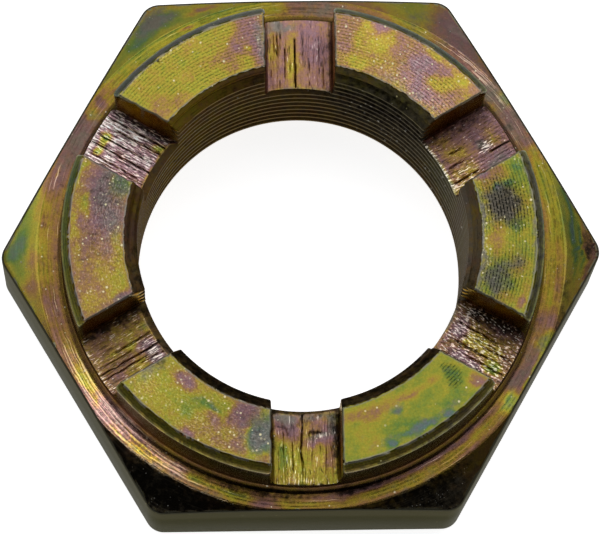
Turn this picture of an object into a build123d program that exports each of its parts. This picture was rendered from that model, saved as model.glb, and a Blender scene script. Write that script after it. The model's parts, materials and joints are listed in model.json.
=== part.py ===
"""Castle nut, M36 x 1.5, thin pattern, 55 mm across flats.

One piece of steel. A hexagon carries a turned shoulder and a turned crown,
and milled slots cross the crown, one over the middle of each flat. A split
pin goes through a slot and a hole in the bolt, and its ends are bent round
the crown. The bore is drawn at the thread's minor diameter.

Millimetres. The origin is the centre of the bearing face, +Z runs up the
thread's axis to the top of the crown, and two flats face +Y and -Y.
"""
from math import radians, tan
import os

from build123d import *

# Thread
thread_diameter = 36.0
thread_pitch = 1.5
minor_factor = 1.0825             # bore under the nominal diameter, in pitches
countersink_growth = 1.0          # mouth of the countersink over the thread's diameter

# Hexagon
across_flats = 55.0
hex_sides = 6
shoulder_height = 12.5            # bearing face to shoulder
hex_corner_radius = 2.0           # upright corners, seen from above
shoulder_chamfer_angle = 17.0     # fall of the chamfer from the shoulder outwards
shoulder_chamfer_overhang = 0.15  # the chamfer starts this far outside the middle of a flat
bearing_edge = 0.3                # broken edge round the bearing face

# Crown
ledge_width = 2.5                 # shoulder left outside the crown at the middle of a flat
crown_height = 7.5                # shoulder to the top of the crown
crown_top_edge = 0.8              # turned bevel round the top
crown_root_radius = 0.8           # fillet where the crown meets the shoulder

# Slots
slot_width = 7.2
slot_floor_rise = 1.0             # slot floor above the shoulder
slot_root_radius = 0.7            # corners along the slot floor
lug_corner_radius = 0.5           # upright outer corners of the lugs

# Sizes that follow from these
nut_height = shoulder_height + crown_height
bore_radius = (thread_diameter - minor_factor * thread_pitch) / 2
countersink_depth = (thread_diameter + countersink_growth) / 2 - bore_radius
crown_radius = across_flats / 2 - ledge_width
chamfer_start_radius = across_flats / 2 + shoulder_chamfer_overhang
clear_radius = across_flats       # well outside the hexagon's corners
chamfer_fall = (clear_radius - chamfer_start_radius) * tan(radians(shoulder_chamfer_angle))
slot_floor_height = shoulder_height + slot_floor_rise
slot_depth = nut_height - slot_floor_height
slot_cuts = hex_sides // 2        # each cut crosses the crown and makes two slots
half_turn = 180
first_slot_angle = half_turn / hex_sides


def ring_edge(builder, height, radius):
    """The one whole circle at this height and radius."""
    level = builder.edges().filter_by(GeomType.CIRCLE).filter_by_position(Axis.Z, height, height)
    return level.sort_by(lambda edge: abs(edge.radius - radius))[0]


# A straight cut along X with rounded corners along its floor. It stands as far
# again above the crown, so that no skin is left over the slot.
with BuildPart() as slot_cutter:
    with BuildSketch(Plane.YZ) as slot_section:
        with Locations((0, nut_height)):
            Rectangle(slot_width, 2 * slot_depth)
        fillet(slot_section.vertices().group_by(Axis.Y)[0], slot_root_radius)
    extrude(amount=clear_radius, both=True)

with BuildPart() as castle_nut:
    # hexagon with rounded upright corners
    with BuildSketch() as hexagon:
        RegularPolygon(across_flats / 2, hex_sides, major_radius=False)
        fillet(hexagon.vertices(), hex_corner_radius)
    extrude(amount=shoulder_height)
    chamfer(castle_nut.faces().sort_by(Axis.Z)[0].edges(), bearing_edge)

    # turned chamfer that takes the corners down from the shoulder
    with BuildSketch(Plane.XZ):
        with BuildLine():
            Polyline(
                (chamfer_start_radius, shoulder_height),
                (clear_radius, shoulder_height),
                (clear_radius, shoulder_height - chamfer_fall),
                close=True,
            )
        make_face()
    revolve(axis=Axis.Z, mode=Mode.SUBTRACT)

    # turned crown, bevelled round the top and filleted into the shoulder
    with BuildSketch(Plane.XY.offset(shoulder_height)):
        Circle(crown_radius)
    extrude(amount=crown_height)
    fillet(ring_edge(castle_nut, shoulder_height, crown_radius), crown_root_radius)
    chamfer(ring_edge(castle_nut, nut_height, crown_radius), crown_top_edge)

    # bore at the minor diameter, countersunk at both ends
    Hole(bore_radius)
    chamfer(ring_edge(castle_nut, nut_height, bore_radius), countersink_depth)
    chamfer(ring_edge(castle_nut, 0, bore_radius), countersink_depth)

    # slots, one over the middle of each flat
    with PolarLocations(0, slot_cuts, first_slot_angle, half_turn):
        add(slot_cutter.part, mode=Mode.SUBTRACT)

    # upright outer corners of the lugs
    uprights = castle_nut.edges().filter_by(Axis.Z).filter_by_position(
        Axis.Z, slot_floor_height, nut_height
    )
    lug_corners = uprights.group_by(lambda edge: round(edge.center().X**2 + edge.center().Y**2))[-1]
    fillet(lug_corners, lug_corner_radius)

castle_nut.part.label = "castle_nut"

os.makedirs("parts", exist_ok=True)
export_step(castle_nut.part, "parts/castle_nut.step")
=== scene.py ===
"""Studio scene of a yellow zinc plated castle nut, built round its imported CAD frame.

The nut is one closed skin. Each of its regions (bore, crown and hexagon) is a class
that lays its own patches of that skin, and says how thick the plating's film is
there. A finish for each kind of machined surface turns the film into colour.
Metres and +Z up the thread's axis, with a corner of the hexagon on +X. The tables
of clouds are in degrees and millimetres.
"""

import json
import logging
import math
from dataclasses import dataclass, field
from enum import IntEnum

import bmesh
import bpy
import numpy as np
from mathutils import Matrix, Vector, noise


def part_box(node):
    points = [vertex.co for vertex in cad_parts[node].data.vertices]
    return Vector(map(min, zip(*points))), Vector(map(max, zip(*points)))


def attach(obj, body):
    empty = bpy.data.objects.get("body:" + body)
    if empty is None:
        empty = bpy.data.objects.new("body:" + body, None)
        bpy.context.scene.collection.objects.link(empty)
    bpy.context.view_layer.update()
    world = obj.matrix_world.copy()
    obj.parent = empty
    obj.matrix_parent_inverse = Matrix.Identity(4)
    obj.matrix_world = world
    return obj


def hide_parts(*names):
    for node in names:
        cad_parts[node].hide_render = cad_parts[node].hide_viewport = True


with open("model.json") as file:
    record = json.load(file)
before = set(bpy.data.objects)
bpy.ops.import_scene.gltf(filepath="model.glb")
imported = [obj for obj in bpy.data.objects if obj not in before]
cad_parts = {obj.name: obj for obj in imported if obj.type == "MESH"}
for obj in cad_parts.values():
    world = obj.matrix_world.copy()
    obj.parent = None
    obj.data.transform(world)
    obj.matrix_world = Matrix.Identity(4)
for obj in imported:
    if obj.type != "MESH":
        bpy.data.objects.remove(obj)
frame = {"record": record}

LOG = logging.getLogger("castle_nut")
MM = 0.001
NODE = "castle_nut"
SLOTS = 6
SECTOR = math.tau / SLOTS
FIRST_SLOT = SECTOR / 2
SWIRL_SEED = 5


class Finish(IntEnum):
    """Kinds of surface on the nut, in the order of its material slots."""

    FACED = 0
    BEVELLED = 1
    TURNED = 2
    CHAMFERED = 3
    MILLED = 4
    WALLED = 5
    THREADED = 6
    COUNTERSUNK = 7
    FORGED = 8


# ---------------------------------------------------------------- sizes


@dataclass(frozen=True)
class Drawing:
    """Sizes that the regions of the nut share, in metres.

    Args:
        across_flats: Width of the hexagon over two flats.
        height: Bearing face to the top of the crown.
        bore: Radius of the thread's crests.
        thread_flank: Where a flank starts and ends, on a scale from 0 in the middle of
            the groove to 1 in the middle of the crest.
        lug_corner: Rounding of the lugs' upright outer corners.
        lug_edge: Rounding of the edges where the slots cut the top.
        lip: Height of the narrow edges at the bore's mouths.
    """

    across_flats: float
    height: float
    bore: float
    pitch: float = 1.5 * MM
    thread_depth: float = 0.812 * MM
    thread_flank: tuple[float, float] = (0.125, 0.75)
    countersink: float = 18.5 * MM
    shoulder: float = 12.5 * MM
    hex_corner: float = 2.0 * MM
    chamfer_start: float = 27.65 * MM
    chamfer_slope: float = math.tan(math.radians(17.0))
    crown: float = 25.0 * MM
    crown_bevel: float = 0.8 * MM
    crown_root: float = 0.8 * MM
    slot_width: float = 7.2 * MM
    slot_floor: float = 13.5 * MM
    slot_root: float = 0.7 * MM
    lug_corner: float = 0.5 * MM
    lug_edge: float = 0.16 * MM
    lip: float = 0.08 * MM

    @classmethod
    def from_frame(cls) -> "Drawing":
        """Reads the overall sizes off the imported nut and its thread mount."""
        low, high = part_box(NODE)
        thread = next(m for m in frame["record"]["mounts"] if m["name"] == "thread")
        return cls(high.y - low.y, high.z, thread["dims"]["r_mm"] * MM)

    @property
    def half_slot(self) -> float:
        """Half the width of a slot."""
        return self.slot_width / 2

    @property
    def wall_foot(self) -> float:
        """Height where a slot's wall meets the rounding along its floor."""
        return self.slot_floor + self.slot_root

    def hex_radius(self, angle: np.ndarray) -> np.ndarray:
        """Distance from the axis to the hexagon's outline, with its corners rounded.

        Args:
            angle: Directions round the axis, in radians.

        Returns:
            One radius for each direction.
        """
        off_corner = (angle + SECTOR / 2) % SECTOR - SECTOR / 2
        flat = self.across_flats / 2 / np.cos(SECTOR / 2 - np.abs(off_corner))
        centre = (self.across_flats / 2 - self.hex_corner) / math.cos(SECTOR / 2)
        rise = self.hex_corner * math.sin(SECTOR / 2)
        tangent = math.atan2(rise, centre + self.hex_corner * math.cos(SECTOR / 2))
        chord = np.maximum(self.hex_corner**2 - (centre * np.sin(off_corner)) ** 2, 0)
        rounded = centre * np.cos(off_corner) + np.sqrt(chord)
        return np.where(np.abs(off_corner) < tangent, rounded, flat)

    def top_height(self, radius: np.ndarray) -> np.ndarray:
        """Height of the shoulder and of the chamfer that falls away from it."""
        return self.shoulder - self.chamfer_slope * np.maximum(radius - self.chamfer_start, 0)

    def bore_radius(self, angle: np.ndarray, height: np.ndarray) -> np.ndarray:
        """Radius of the bore's wall, with the thread and both countersinks.

        Args:
            angle: Directions round the axis.
            height: Heights above the bearing face.

        Returns:
            The wall's radius at each place.
        """
        turn = (height / self.pitch - angle / math.tau) % 1.0
        from_crest = np.abs(turn - 0.5) * 2
        start, stop = self.thread_flank
        groove = np.clip((stop - from_crest) / (stop - start), 0, 1) * self.thread_depth
        top_cone = self.countersink - (self.height - height)
        bottom_cone = self.countersink - height
        return np.maximum.reduce([self.bore + groove, top_cone, bottom_cone])


def slot_angle(number: int) -> float:
    """Direction of a slot's middle."""
    return FIRST_SLOT + number * SECTOR


def eased(distance: np.ndarray, radius: np.ndarray | float) -> np.ndarray:
    """How far a rounded edge lies under the sharp one, at a distance from it."""
    gap = np.clip(radius - distance, 0, None)
    return radius - np.sqrt(np.maximum(radius**2 - gap**2, 0))


def ragged(count: int, seed: int, amount: float) -> np.ndarray:
    """Small uneven steps along an edge that the cutter left rough."""
    return np.random.default_rng(seed).uniform(-amount, amount, count)


def ramp(values: tuple[float, ...] | np.ndarray) -> np.ndarray:
    """A column of row values, in metres, from millimetres."""
    return np.asarray(values, float)[:, None] * MM


# ---------------------------------------------------------------- looks


SWIRL_SCALE = 0.55 / MM
SWIRL_OCTAVES = 4
NEAREST = 17.5


@dataclass(frozen=True)
class Places:
    """Where the points of a patch lie, as the clouds are set out.

    Args:
        turn: Direction from the axis in degrees, or distance across a slot in millimetres.
        radius: Distance from the axis, in millimetres.
        around: True where turn is a direction.
    """

    turn: np.ndarray
    radius: np.ndarray
    around: bool = True

    @classmethod
    def of(cls, grid: np.ndarray, fray: float = 0.45) -> "Places":
        """Places round the axis, with the outlines of clouds made to wander.

        Args:
            grid: Points, XYZ last.
            fray: How far the outlines wander, in millimetres.
        """
        radius = np.hypot(grid[..., 0], grid[..., 1]) / MM
        swirl = cls._swirl(grid) * fray
        angle = np.arctan2(grid[..., 1], grid[..., 0]) + swirl[..., 0] / radius
        return cls(np.degrees(angle), radius + swirl[..., 1])

    @classmethod
    def in_bore(cls, grid: np.ndarray) -> "Places":
        """Places on the bore's wall, with the height taking the radius's part."""
        around = cls.of(grid)
        return cls(around.turn, grid[..., 2] / MM)

    @classmethod
    def in_slot(cls, grid: np.ndarray, middle: float, fray: float = 0.35) -> "Places":
        """Places across a slot, counted from its middle plane.

        Args:
            grid: Points, XYZ last.
            middle: Direction of the slot, in radians.
            fray: How far the outlines wander, in millimetres.
        """
        swirl = cls._swirl(grid) * fray
        across = grid[..., 1] * math.cos(middle) - grid[..., 0] * math.sin(middle)
        radius = np.hypot(grid[..., 0], grid[..., 1])
        return cls(across / MM + swirl[..., 0], radius / MM + 2 * swirl[..., 1], False)

    @staticmethod
    def _swirl(grid: np.ndarray) -> np.ndarray:
        """Uneven shifts for every point."""
        flat = grid.reshape(-1, 3) * SWIRL_SCALE
        swirl = [noise.turbulence_vector(Vector(p), SWIRL_OCTAVES, False) for p in flat]
        return np.array(swirl).reshape(grid.shape)

    def away(self, at: float, radius: float) -> np.ndarray:
        """Distance of each point from a cloud's middle, round the axis or across the slot."""
        if not self.around:
            return self.turn - at
        return np.radians((self.turn - at + 180) % 360 - 180) * radius


@dataclass(frozen=True)
class Bloom:
    """A soft cloud in which a field has another value.

    Args:
        at: Its middle, in degrees round the axis or in millimetres across a slot.
        radius: Distance of its middle from the axis, in millimetres.
        along: Half its length round the axis or across the slot, in millimetres.
        across: Half its width away from the axis, in millimetres.
        value: What it brings.
        share: How much of what lies below it covers.
    """

    at: float
    radius: float
    along: float
    across: float
    value: float
    share: float = 1.0

    def cover(self, places: Places) -> np.ndarray:
        """Share of the field that this cloud covers at each place."""
        along = places.away(self.at, max(self.radius, NEAREST)) / self.along
        across = (places.radius - self.radius) / self.across
        return self.share * np.exp(-((along**2 + across**2) ** 1.5))


@dataclass(frozen=True)
class Field:
    """A value spread over one region: its value away from every cloud, and the clouds."""

    base: float
    blooms: tuple[Bloom, ...] = ()

    def over(self, places: Places) -> np.ndarray:
        """Value at each place, each cloud laid over those before it."""
        value = np.full(places.radius.shape, self.base)
        for bloom in self.blooms:
            value += bloom.cover(places) * (bloom.value - value)
        return value


def clouded(base: float, *clouds: tuple[float, ...]) -> Field:
    """A field from its value away from every cloud, and the sizes of each cloud in turn."""
    return Field(base, tuple(Bloom(*sizes) for sizes in clouds))


LOOKS = ("film", "lines", "soot", "glint", "dull", "shade")
LAYERS = (*LOOKS, "rim")


@dataclass(frozen=True)
class Look:
    """What the finishes read from place to place.

    Args:
        film: Thickness of the plating's film: pale at 0, mauve at 0.15, orange at
            0.33, yellow at 0.5, green at 0.7 and blue grey at 1.
        lines: How clearly the tool marks show.
        soot: How far the surface is painted black: partly real blackening, partly painted
        shade in the bore, in the slot floors' cracks and valleys, along the slot walls
        and at the crown's root, and painted dark reflections on the near side.
        glint: How many of its grains shine and its flecks brighten, as painted glints
        and painted highlights; it also strengthens the fine grit.
        dull: How far the film has lost its colour and turned grey.
        shade: How much darker the finish is painted than elsewhere, and lighter below
        nought: partly its own tone, partly painted shade, and below nought painted
        highlights.
    """

    film: Field
    lines: Field = Field(0.5)
    soot: Field = Field(0.0)
    glint: Field = Field(0.3)
    dull: Field = Field(0.1)
    shade: Field = Field(0.0)

    def over(self, places: Places) -> dict[str, np.ndarray]:
        """All the values at each place."""
        return {name: getattr(self, name).over(places) for name in LOOKS}


# ---------------------------------------------------------------- columns


@dataclass(frozen=True)
class Columns:
    """Upright lines of the mesh, in order round the axis.

    A line keeps its distance from the middle plane of a slot, so that some lie
    on the slot walls, or runs a fixed share of the way across a lug.

    Args:
        slot: Angle of the slot that each line is measured from.
        offset: Distance of each line from that slot's middle plane.
        share: Way across the lug, 0 on the lines that keep their distance.
        half_slot: Half the width of a slot.
        near: Distance from the middle plane at which the shares start.
    """

    slot: np.ndarray
    offset: np.ndarray
    share: np.ndarray
    half_slot: float
    near: float

    @classmethod
    def around(cls, drawing: Drawing) -> "Columns":
        """Lays the lines of one slot and one lug, six times."""
        fillet = drawing.half_slot - drawing.slot_root * np.array([0.0, 0.12, 0.3, 0.55, 1.0])
        flat = np.linspace(fillet[-1], -fillet[-1], 15)[1:-1]
        in_slot = np.concatenate([-fillet, -flat, fillet[::-1]])
        edge = drawing.half_slot + np.array([0.05, 0.11, 0.18, 0.3, 0.42, 0.56, 0.9]) * MM
        corner = np.linspace(0.455, 0.545, 11)
        side = np.linspace(0, corner[0], 13)[1:-1]
        across = np.concatenate([side, corner, 1 - side[::-1]])
        offset = np.concatenate([in_slot, edge, np.full(len(across), edge[-1]), -edge[::-1]])
        share = np.concatenate([0 * in_slot, 0 * edge, across, 0 * edge])
        ahead = np.concatenate([0 * in_slot, 0 * edge, 0 * across, 0 * edge + 1])
        slot = [FIRST_SLOT + (k + ahead) * SECTOR for k in range(SLOTS)]
        return cls(
            np.concatenate(slot),
            np.tile(offset, SLOTS),
            np.tile(share, SLOTS),
            drawing.half_slot,
            edge[-1],
        )

    def __len__(self) -> int:
        """Number of lines."""
        return len(self.slot)

    @property
    def wall_gap(self) -> np.ndarray:
        """Distance of each line from the nearest slot wall, negative inside the slot."""
        return np.where(self.share > 0, self.near, np.abs(self.offset) - self.half_slot)

    @property
    def ring(self) -> np.ndarray:
        """Every line, with the first once more at the end."""
        return np.append(np.arange(len(self)), 0)

    def slot_run(self, number: int) -> np.ndarray:
        """Lines across one slot, both walls included."""
        per_slot = len(self) // SLOTS
        in_slot = int(np.sum(self.wall_gap[:per_slot] < 1e-9))
        return number * per_slot + np.arange(in_slot)

    def lug_run(self, number: int) -> np.ndarray:
        """Lines across the lug that follows a slot, both walls included."""
        stop = (number + 1) * (len(self) // SLOTS)
        return np.arange(self.slot_run(number)[-1], stop + 1) % len(self)

    def angle(self, run: np.ndarray, radius: np.ndarray | float) -> np.ndarray:
        """Direction of some lines at a radius, growing along the run."""
        lug = SECTOR - 2 * np.arcsin(self.near / radius)
        angle = self.slot[run] + np.arcsin(self.offset[run] / radius) + self.share[run] * lug
        return np.unwrap(angle, axis=-1)

    def place(self, run: np.ndarray, radius: np.ndarray, height: np.ndarray) -> np.ndarray:
        """Points on some of the lines.

        Args:
            run: Numbers of the lines.
            radius: Rows of distances from the axis, or one column for all lines.
            height: Rows of heights, or one column.

        Returns:
            Rows by lines by XYZ.
        """
        radius, height = np.broadcast_arrays(radius, height, np.zeros(len(run)))[:2]
        angle = self.angle(run, radius)
        return np.stack([radius * np.cos(angle), radius * np.sin(angle), height], axis=-1)


# ---------------------------------------------------------------- skin


class Across(IntEnum):
    """What the tool marks of a patch are counted by."""

    RADIUS = 0
    HEIGHT = 1


MARK_RADIUS = 22.0 * MM
MARKS_LAYER = "tool_marks"
WELD = 2e-6


def round_marks(grid: np.ndarray, across: Across) -> np.ndarray:
    """Places across and along the marks of a turned surface."""
    angle = np.unwrap(np.arctan2(grid[..., 1], grid[..., 0]), axis=1)
    radius = np.hypot(grid[..., 0], grid[..., 1])
    counted = radius if across is Across.RADIUS else grid[..., 2]
    return np.stack([counted, angle * MARK_RADIUS], axis=-1)


@dataclass
class Skin:
    """Collects patches and joins them into one closed mesh."""

    points: list[np.ndarray] = field(default_factory=list)
    marks: list[np.ndarray] = field(default_factory=list)
    looks: list[np.ndarray] = field(default_factory=list)
    faces: list[tuple[int, ...]] = field(default_factory=list)
    finishes: list[int] = field(default_factory=list)
    count: int = 0

    def _add(
        self, points: np.ndarray, marks: np.ndarray, look: dict, rim: np.ndarray | float
    ) -> int:
        """Adds points with what the finishes read from them, and returns the first number."""
        start = self.count
        self.points.append(points.reshape(-1, 3))
        self.marks.append(marks.reshape(-1, 2))
        values = [look[name] for name in LOOKS] + [rim]
        values = [np.broadcast_to(value, points.shape[:-1]).ravel() for value in values]
        self.looks.append(np.stack(values, axis=-1))
        self.count += len(self.points[-1])
        return start

    def patch(
        self,
        grid: np.ndarray,
        marks: np.ndarray,
        finish: Finish,
        look: dict[str, np.ndarray],
        rim: np.ndarray | float = 0.0,
    ) -> None:
        """Adds a grid of four-sided faces.

        Args:
            grid: Rows by lines by XYZ.
            marks: Places across and along the tool marks, for each point.
            finish: Surface kind.
            look: What the finish reads at each point.
            rim: How much of an edge each point is, from 0 to 1.
        """
        start = self._add(grid, marks, look, rim)
        number = start + np.arange(grid[..., 0].size).reshape(grid.shape[:2])
        corners = [number[:-1, :-1], number[1:, :-1], number[1:, 1:], number[:-1, 1:]]
        added = np.stack(corners, axis=-1).reshape(-1, 4)
        self.faces.extend(map(tuple, added.tolist()))
        self.finishes.extend([int(finish)] * len(added))

    def turned(
        self,
        grid: np.ndarray,
        across: Across,
        finish: Finish,
        look: Look,
        rim: np.ndarray | float = 0.0,
    ) -> None:
        """Adds a grid whose tool marks run round the axis.

        Args:
            grid: Rows by lines by XYZ.
            across: What its marks are counted by.
            finish: Surface kind.
            look: What the finish reads, over the whole region.
            rim: How much of an edge each point is, from 0 to 1.
        """
        self.patch(grid, round_marks(grid, across), finish, look.over(Places.of(grid)), rim)

    def plate(self, outline: np.ndarray, marks: np.ndarray, finish: Finish, look: Look) -> None:
        """Adds one flat face inside an outline."""
        keep = np.linalg.norm(outline - np.roll(outline, 1, axis=0), axis=1) > WELD
        outline = outline[keep]
        start = self._add(outline, marks[keep], look.over(Places.of(outline)), 0.0)
        self.faces.append(tuple(range(start, self.count)))
        self.finishes.append(int(finish))

    def mesh(self, name: str) -> bpy.types.Mesh:
        """Makes one mesh of all patches, with their looks and marks."""
        mesh = bpy.data.meshes.new(name)
        mesh.from_pydata(np.concatenate(self.points).tolist(), [], self.faces)
        mesh.polygons.foreach_set("material_index", self.finishes)
        for label, values in zip(LAYERS, np.concatenate(self.looks).T):
            layer = mesh.attributes.new(label, "FLOAT", "POINT")
            layer.data.foreach_set("value", values.astype(np.float32))
        loops = np.empty(len(mesh.loops), np.int32)
        mesh.loops.foreach_get("vertex_index", loops)
        marks = np.concatenate(self.marks)[loops].astype(np.float32)
        mesh.uv_layers.new(name=MARKS_LAYER).data.foreach_set("uv", marks.ravel())
        return mesh


def corners_of(sheet: bmesh.types.BMesh, finish: Finish) -> list[bmesh.types.BMVert]:
    """Vertices of all faces with one finish, in a fixed order."""
    found = {v for f in sheet.faces if f.material_index == finish for v in f.verts}
    return sorted(found, key=lambda vertex: tuple(vertex.co))


def directions(vertices: list[bmesh.types.BMVert]) -> np.ndarray:
    """Direction of each vertex from the axis."""
    return np.array([math.atan2(vertex.co.y, vertex.co.x) for vertex in vertices])


def paint(
    sheet: bmesh.types.BMesh, vertices: list[bmesh.types.BMVert], look: dict[str, np.ndarray]
) -> None:
    """Writes a look's values to some of the skin's vertices."""
    for name, values in look.items():
        layer = sheet.verts.layers.float[name]
        for vertex, value in zip(vertices, values):
            vertex[layer] = value


# ---------------------------------------------------------------- bore


BORE_LOOK = Look(
    film=clouded(
        0.36, (128, 19.4, 8, 0.9, 0.47), (104, 19.4, 2, 0.9, 0.28), (60, 18, 6, 3, 0.6),
        (66, 19.2, 1.2, 0.5, 0.4), (28, 10, 3, 5, 0.74), (14, 12, 0.8, 9, 0.12), (6, 12, 0.6, 9, 0.44),
        (352, 12, 0.8, 9, 0.16), (178, 18, 1.6, 3, 0.2), (128, 8, 9, 7, 0.4),
    ),
    lines=Field(0.4),
    # Much of this soot is painted shade inside the bore, darkest on the near side.
    soot=clouded(
        0.3, (128, 19.6, 10, 0.7, 0.12), (100, 18.2, 8, 1.6, 0.5), (58, 14, 8, 7, 0.75),
        (66, 19.5, 1.6, 0.4, 0.1), (40, 6, 8, 6, 0.4), (240, 17, 18, 5, 0.8), (300, 17, 18, 5, 0.76),
        (196, 15, 3, 3, 0.8), (342, 15, 3, 3, 0.8), (10, 13, 7, 8, 0.12),
    ),
    glint=clouded(0.2, (44, 10, 8, 8, 2)),
    dull=clouded(
        0.35, (10, 10, 9, 12, 0.9), (52, 12, 9, 10, 0.85), (342, 10, 6, 12, 0.8), (240, 18, 20, 4, 0.6),
        (300, 18, 20, 4, 0.6), (128, 19.4, 8, 0.9, 0.1),
    ),
    # Shade below nought is a painted highlight on the wall near 8 and 342 degrees.
    shade=clouded(-0.1, (8, 9, 8, 12, -0.8), (342, 9, 5, 10, -0.5)),
)


@dataclass
class Bore:
    """The internal thread with the countersink at each end."""

    drawing: Drawing
    columns: Columns
    look: Look = BORE_LOOK
    row_places: tuple[float, ...] = (0.125, 0.28, 0.4375, 0.5625, 0.72, 0.875)

    def _rows(self, angle: np.ndarray, low: np.ndarray, high: np.ndarray) -> np.ndarray:
        """Heights that follow the thread's turns, held between two limits."""
        pitch = self.drawing.pitch
        turns = np.arange(-2, math.ceil(self.drawing.height / pitch) + 2)
        places = (turns[:, None] + np.array(self.row_places)).reshape(-1, 1)
        return np.clip((places + angle / math.tau) * pitch, low, high)

    def foot(self, run: np.ndarray) -> np.ndarray:
        """Height at which the wall ends on each line: a slot's floor, or the foot of its walls."""
        drawing = self.drawing
        gap = -self.columns.wall_gap[run]
        floor = drawing.slot_floor + eased(gap, drawing.slot_root)
        return np.where(gap > -1e-9, floor, drawing.wall_foot)

    def build(self, skin: Skin) -> list[np.ndarray]:
        """Lays the bore's wall.

        Args:
            skin: Receives the patches.

        Returns:
            The grid of each lug's upper bore wall.
        """
        drawing, run = self.drawing, self.columns.ring
        angle = self.columns.angle(run, drawing.bore)
        rows = self._rows(angle, np.full(len(run), drawing.lip), self.foot(run))
        self._lay(skin, self.columns.place(run, drawing.bore_radius(angle, rows), rows))
        return [self._upper(skin, self.columns.lug_run(k)) for k in range(SLOTS)]

    def sink(self, sheet: bmesh.types.BMesh) -> None:
        """Gives the countersinks at both ends their own finish."""
        reach = self.drawing.countersink - self.drawing.bore
        low, high = reach, self.drawing.height - reach
        for face in sheet.faces:
            if face.material_index == Finish.THREADED:
                if not low < face.calc_center_median().z < high:
                    face.material_index = Finish.COUNTERSUNK

    def _upper(self, skin: Skin, run: np.ndarray) -> np.ndarray:
        """The wall inside one lug, from the foot of its slots to its top."""
        drawing = self.drawing
        angle = self.columns.angle(run, drawing.bore)
        low = np.full(len(run), drawing.wall_foot)
        rows = self._rows(angle, low, drawing.height - drawing.lip)
        growth = np.clip((rows - low) / (3 * drawing.lug_edge), 0, 1)
        drop = eased(self.columns.wall_gap[run] + 0 * rows, drawing.lug_edge) * growth
        return self._lay(skin, self.columns.place(run, drawing.bore_radius(angle, rows) + drop, rows))

    def _lay(self, skin: Skin, grid: np.ndarray) -> np.ndarray:
        """Adds a part of the wall to the skin, and returns it."""
        look = self.look.over(Places.in_bore(grid))
        skin.patch(grid, round_marks(grid, Across.HEIGHT), Finish.THREADED, look)
        return grid


# ---------------------------------------------------------------- crown


# Least half width, in millimetres, of the painted shade along a crack, and the crack depth at which it is
# full.
CRACK_SHADE_WIDTH = 0.062
DEEP = 0.14


@dataclass(frozen=True)
class Crack:
    """A line along which the cutter tore a slot's floor open.

    Args:
        at: Distance from the slot's middle plane, in millimetres.
        start: Distance from the axis at which it starts, in millimetres.
        stop: Distance from the axis at which it ends.
        width: Half its width, in millimetres.
        depth: Its depth, in millimetres.
        stray: How far it strays sideways, in millimetres.
    """

    at: float
    start: float
    stop: float
    width: float = 0.06
    depth: float = 0.14
    stray: float = 0.06

    def open(self, across: float, along: float, seed: float, least: float = 0.0) -> float:
        """How far it has opened at a place, from 0 to 1.

        Args:
            across: Distance from the slot's middle plane, in millimetres.
            along: Distance from the axis, in millimetres.
            seed: Picks the way it strays.
            least: Least half width at which it counts, in millimetres.
        """
        ends = min((along - self.start) / 0.4, (self.stop - along) / 0.4, 1.0)
        if ends <= 0:
            return 0.0
        stray = self.stray * noise.noise(Vector((along * 1.1, self.at * 3, seed))) * 2
        return ends * math.exp(-(((across - self.at - stray) / max(self.width, least)) ** 2))


@dataclass(frozen=True)
class Scab:
    """A raised island or, with a height below zero, a nick in a slot's floor."""

    at: float
    radius: float
    along: float
    across: float
    height: float

    def rise(self, across: float, along: float) -> float:
        """Height over the floor round it, in millimetres."""
        far = math.hypot((across - self.at) / self.along, (along - self.radius) / self.across)
        far += 0.55 * noise.noise(Vector((across * 2.6, along * 1.4, self.at)))
        return self.height * min(1.0, max(0.0, (1.15 - far) / 0.3))


@dataclass(frozen=True)
class SlotFace:
    """How the cutter left one slot's floor.

    Args:
        look: What the finish reads.
        tear: Height of the torn ridges, in millimetres.
        length: Length of the ridges over their width.
        seed: Picks the pattern of the ridges.
        cracks: Open lines.
        scabs: Islands and nicks.
        fineness: How much finer than usual its marks are, across and along the slot.
    """

    look: Look
    tear: float
    length: float
    seed: float
    cracks: tuple[Crack, ...] = ()
    scabs: tuple[Scab, ...] = ()
    fineness: tuple[float, float] = (1.0, 1.0)

    def relief(self, offset: float, radius: float) -> tuple[float, float]:
        """Height over the drawn floor in metres, and how dark it is painted there: painted
        shade in the valleys between the torn ridges and in the cracks.

        Args:
            offset: Distance from the middle plane of the slot, in metres.
            radius: Distance from the axis, in metres.
        """
        across, along = offset / MM, radius / MM
        bend = 0.25 * noise.noise(Vector((along * 0.35, across * 0.4, self.seed + 2.0)))
        line = (across + bend) * 3.4
        ridge = noise.noise(Vector((line, along * 3.4 / self.length, self.seed)))
        fine = noise.noise(Vector((line * 2.6, along * 7.0 / self.length, self.seed + 5.0)))
        torn = noise.noise(Vector((across * 1.6, along * 1.1, self.seed + 9.0)))
        rough = max(0.25, 0.75 + 1.1 * torn)
        height = self.tear * (ridge + 0.7 * fine) * rough
        # Painted shade in the low valleys between the torn ridges.
        black = min(0.45, max(0.0, (-ridge - 0.55 * fine - 0.30) * 1.6 * rough))
        for scab in self.scabs:
            height += scab.rise(across, along)
        for crack in self.cracks:
            # Each crack is cut into the floor and given painted shade along its line.
            height -= crack.depth * crack.open(across, along, self.seed)
            crack_shade = crack.open(across, along, self.seed, CRACK_SHADE_WIDTH) * min(1.0, crack.depth / DEEP)
            black = max(black, 1.25 * crack_shade)
        return height * MM, black


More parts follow.
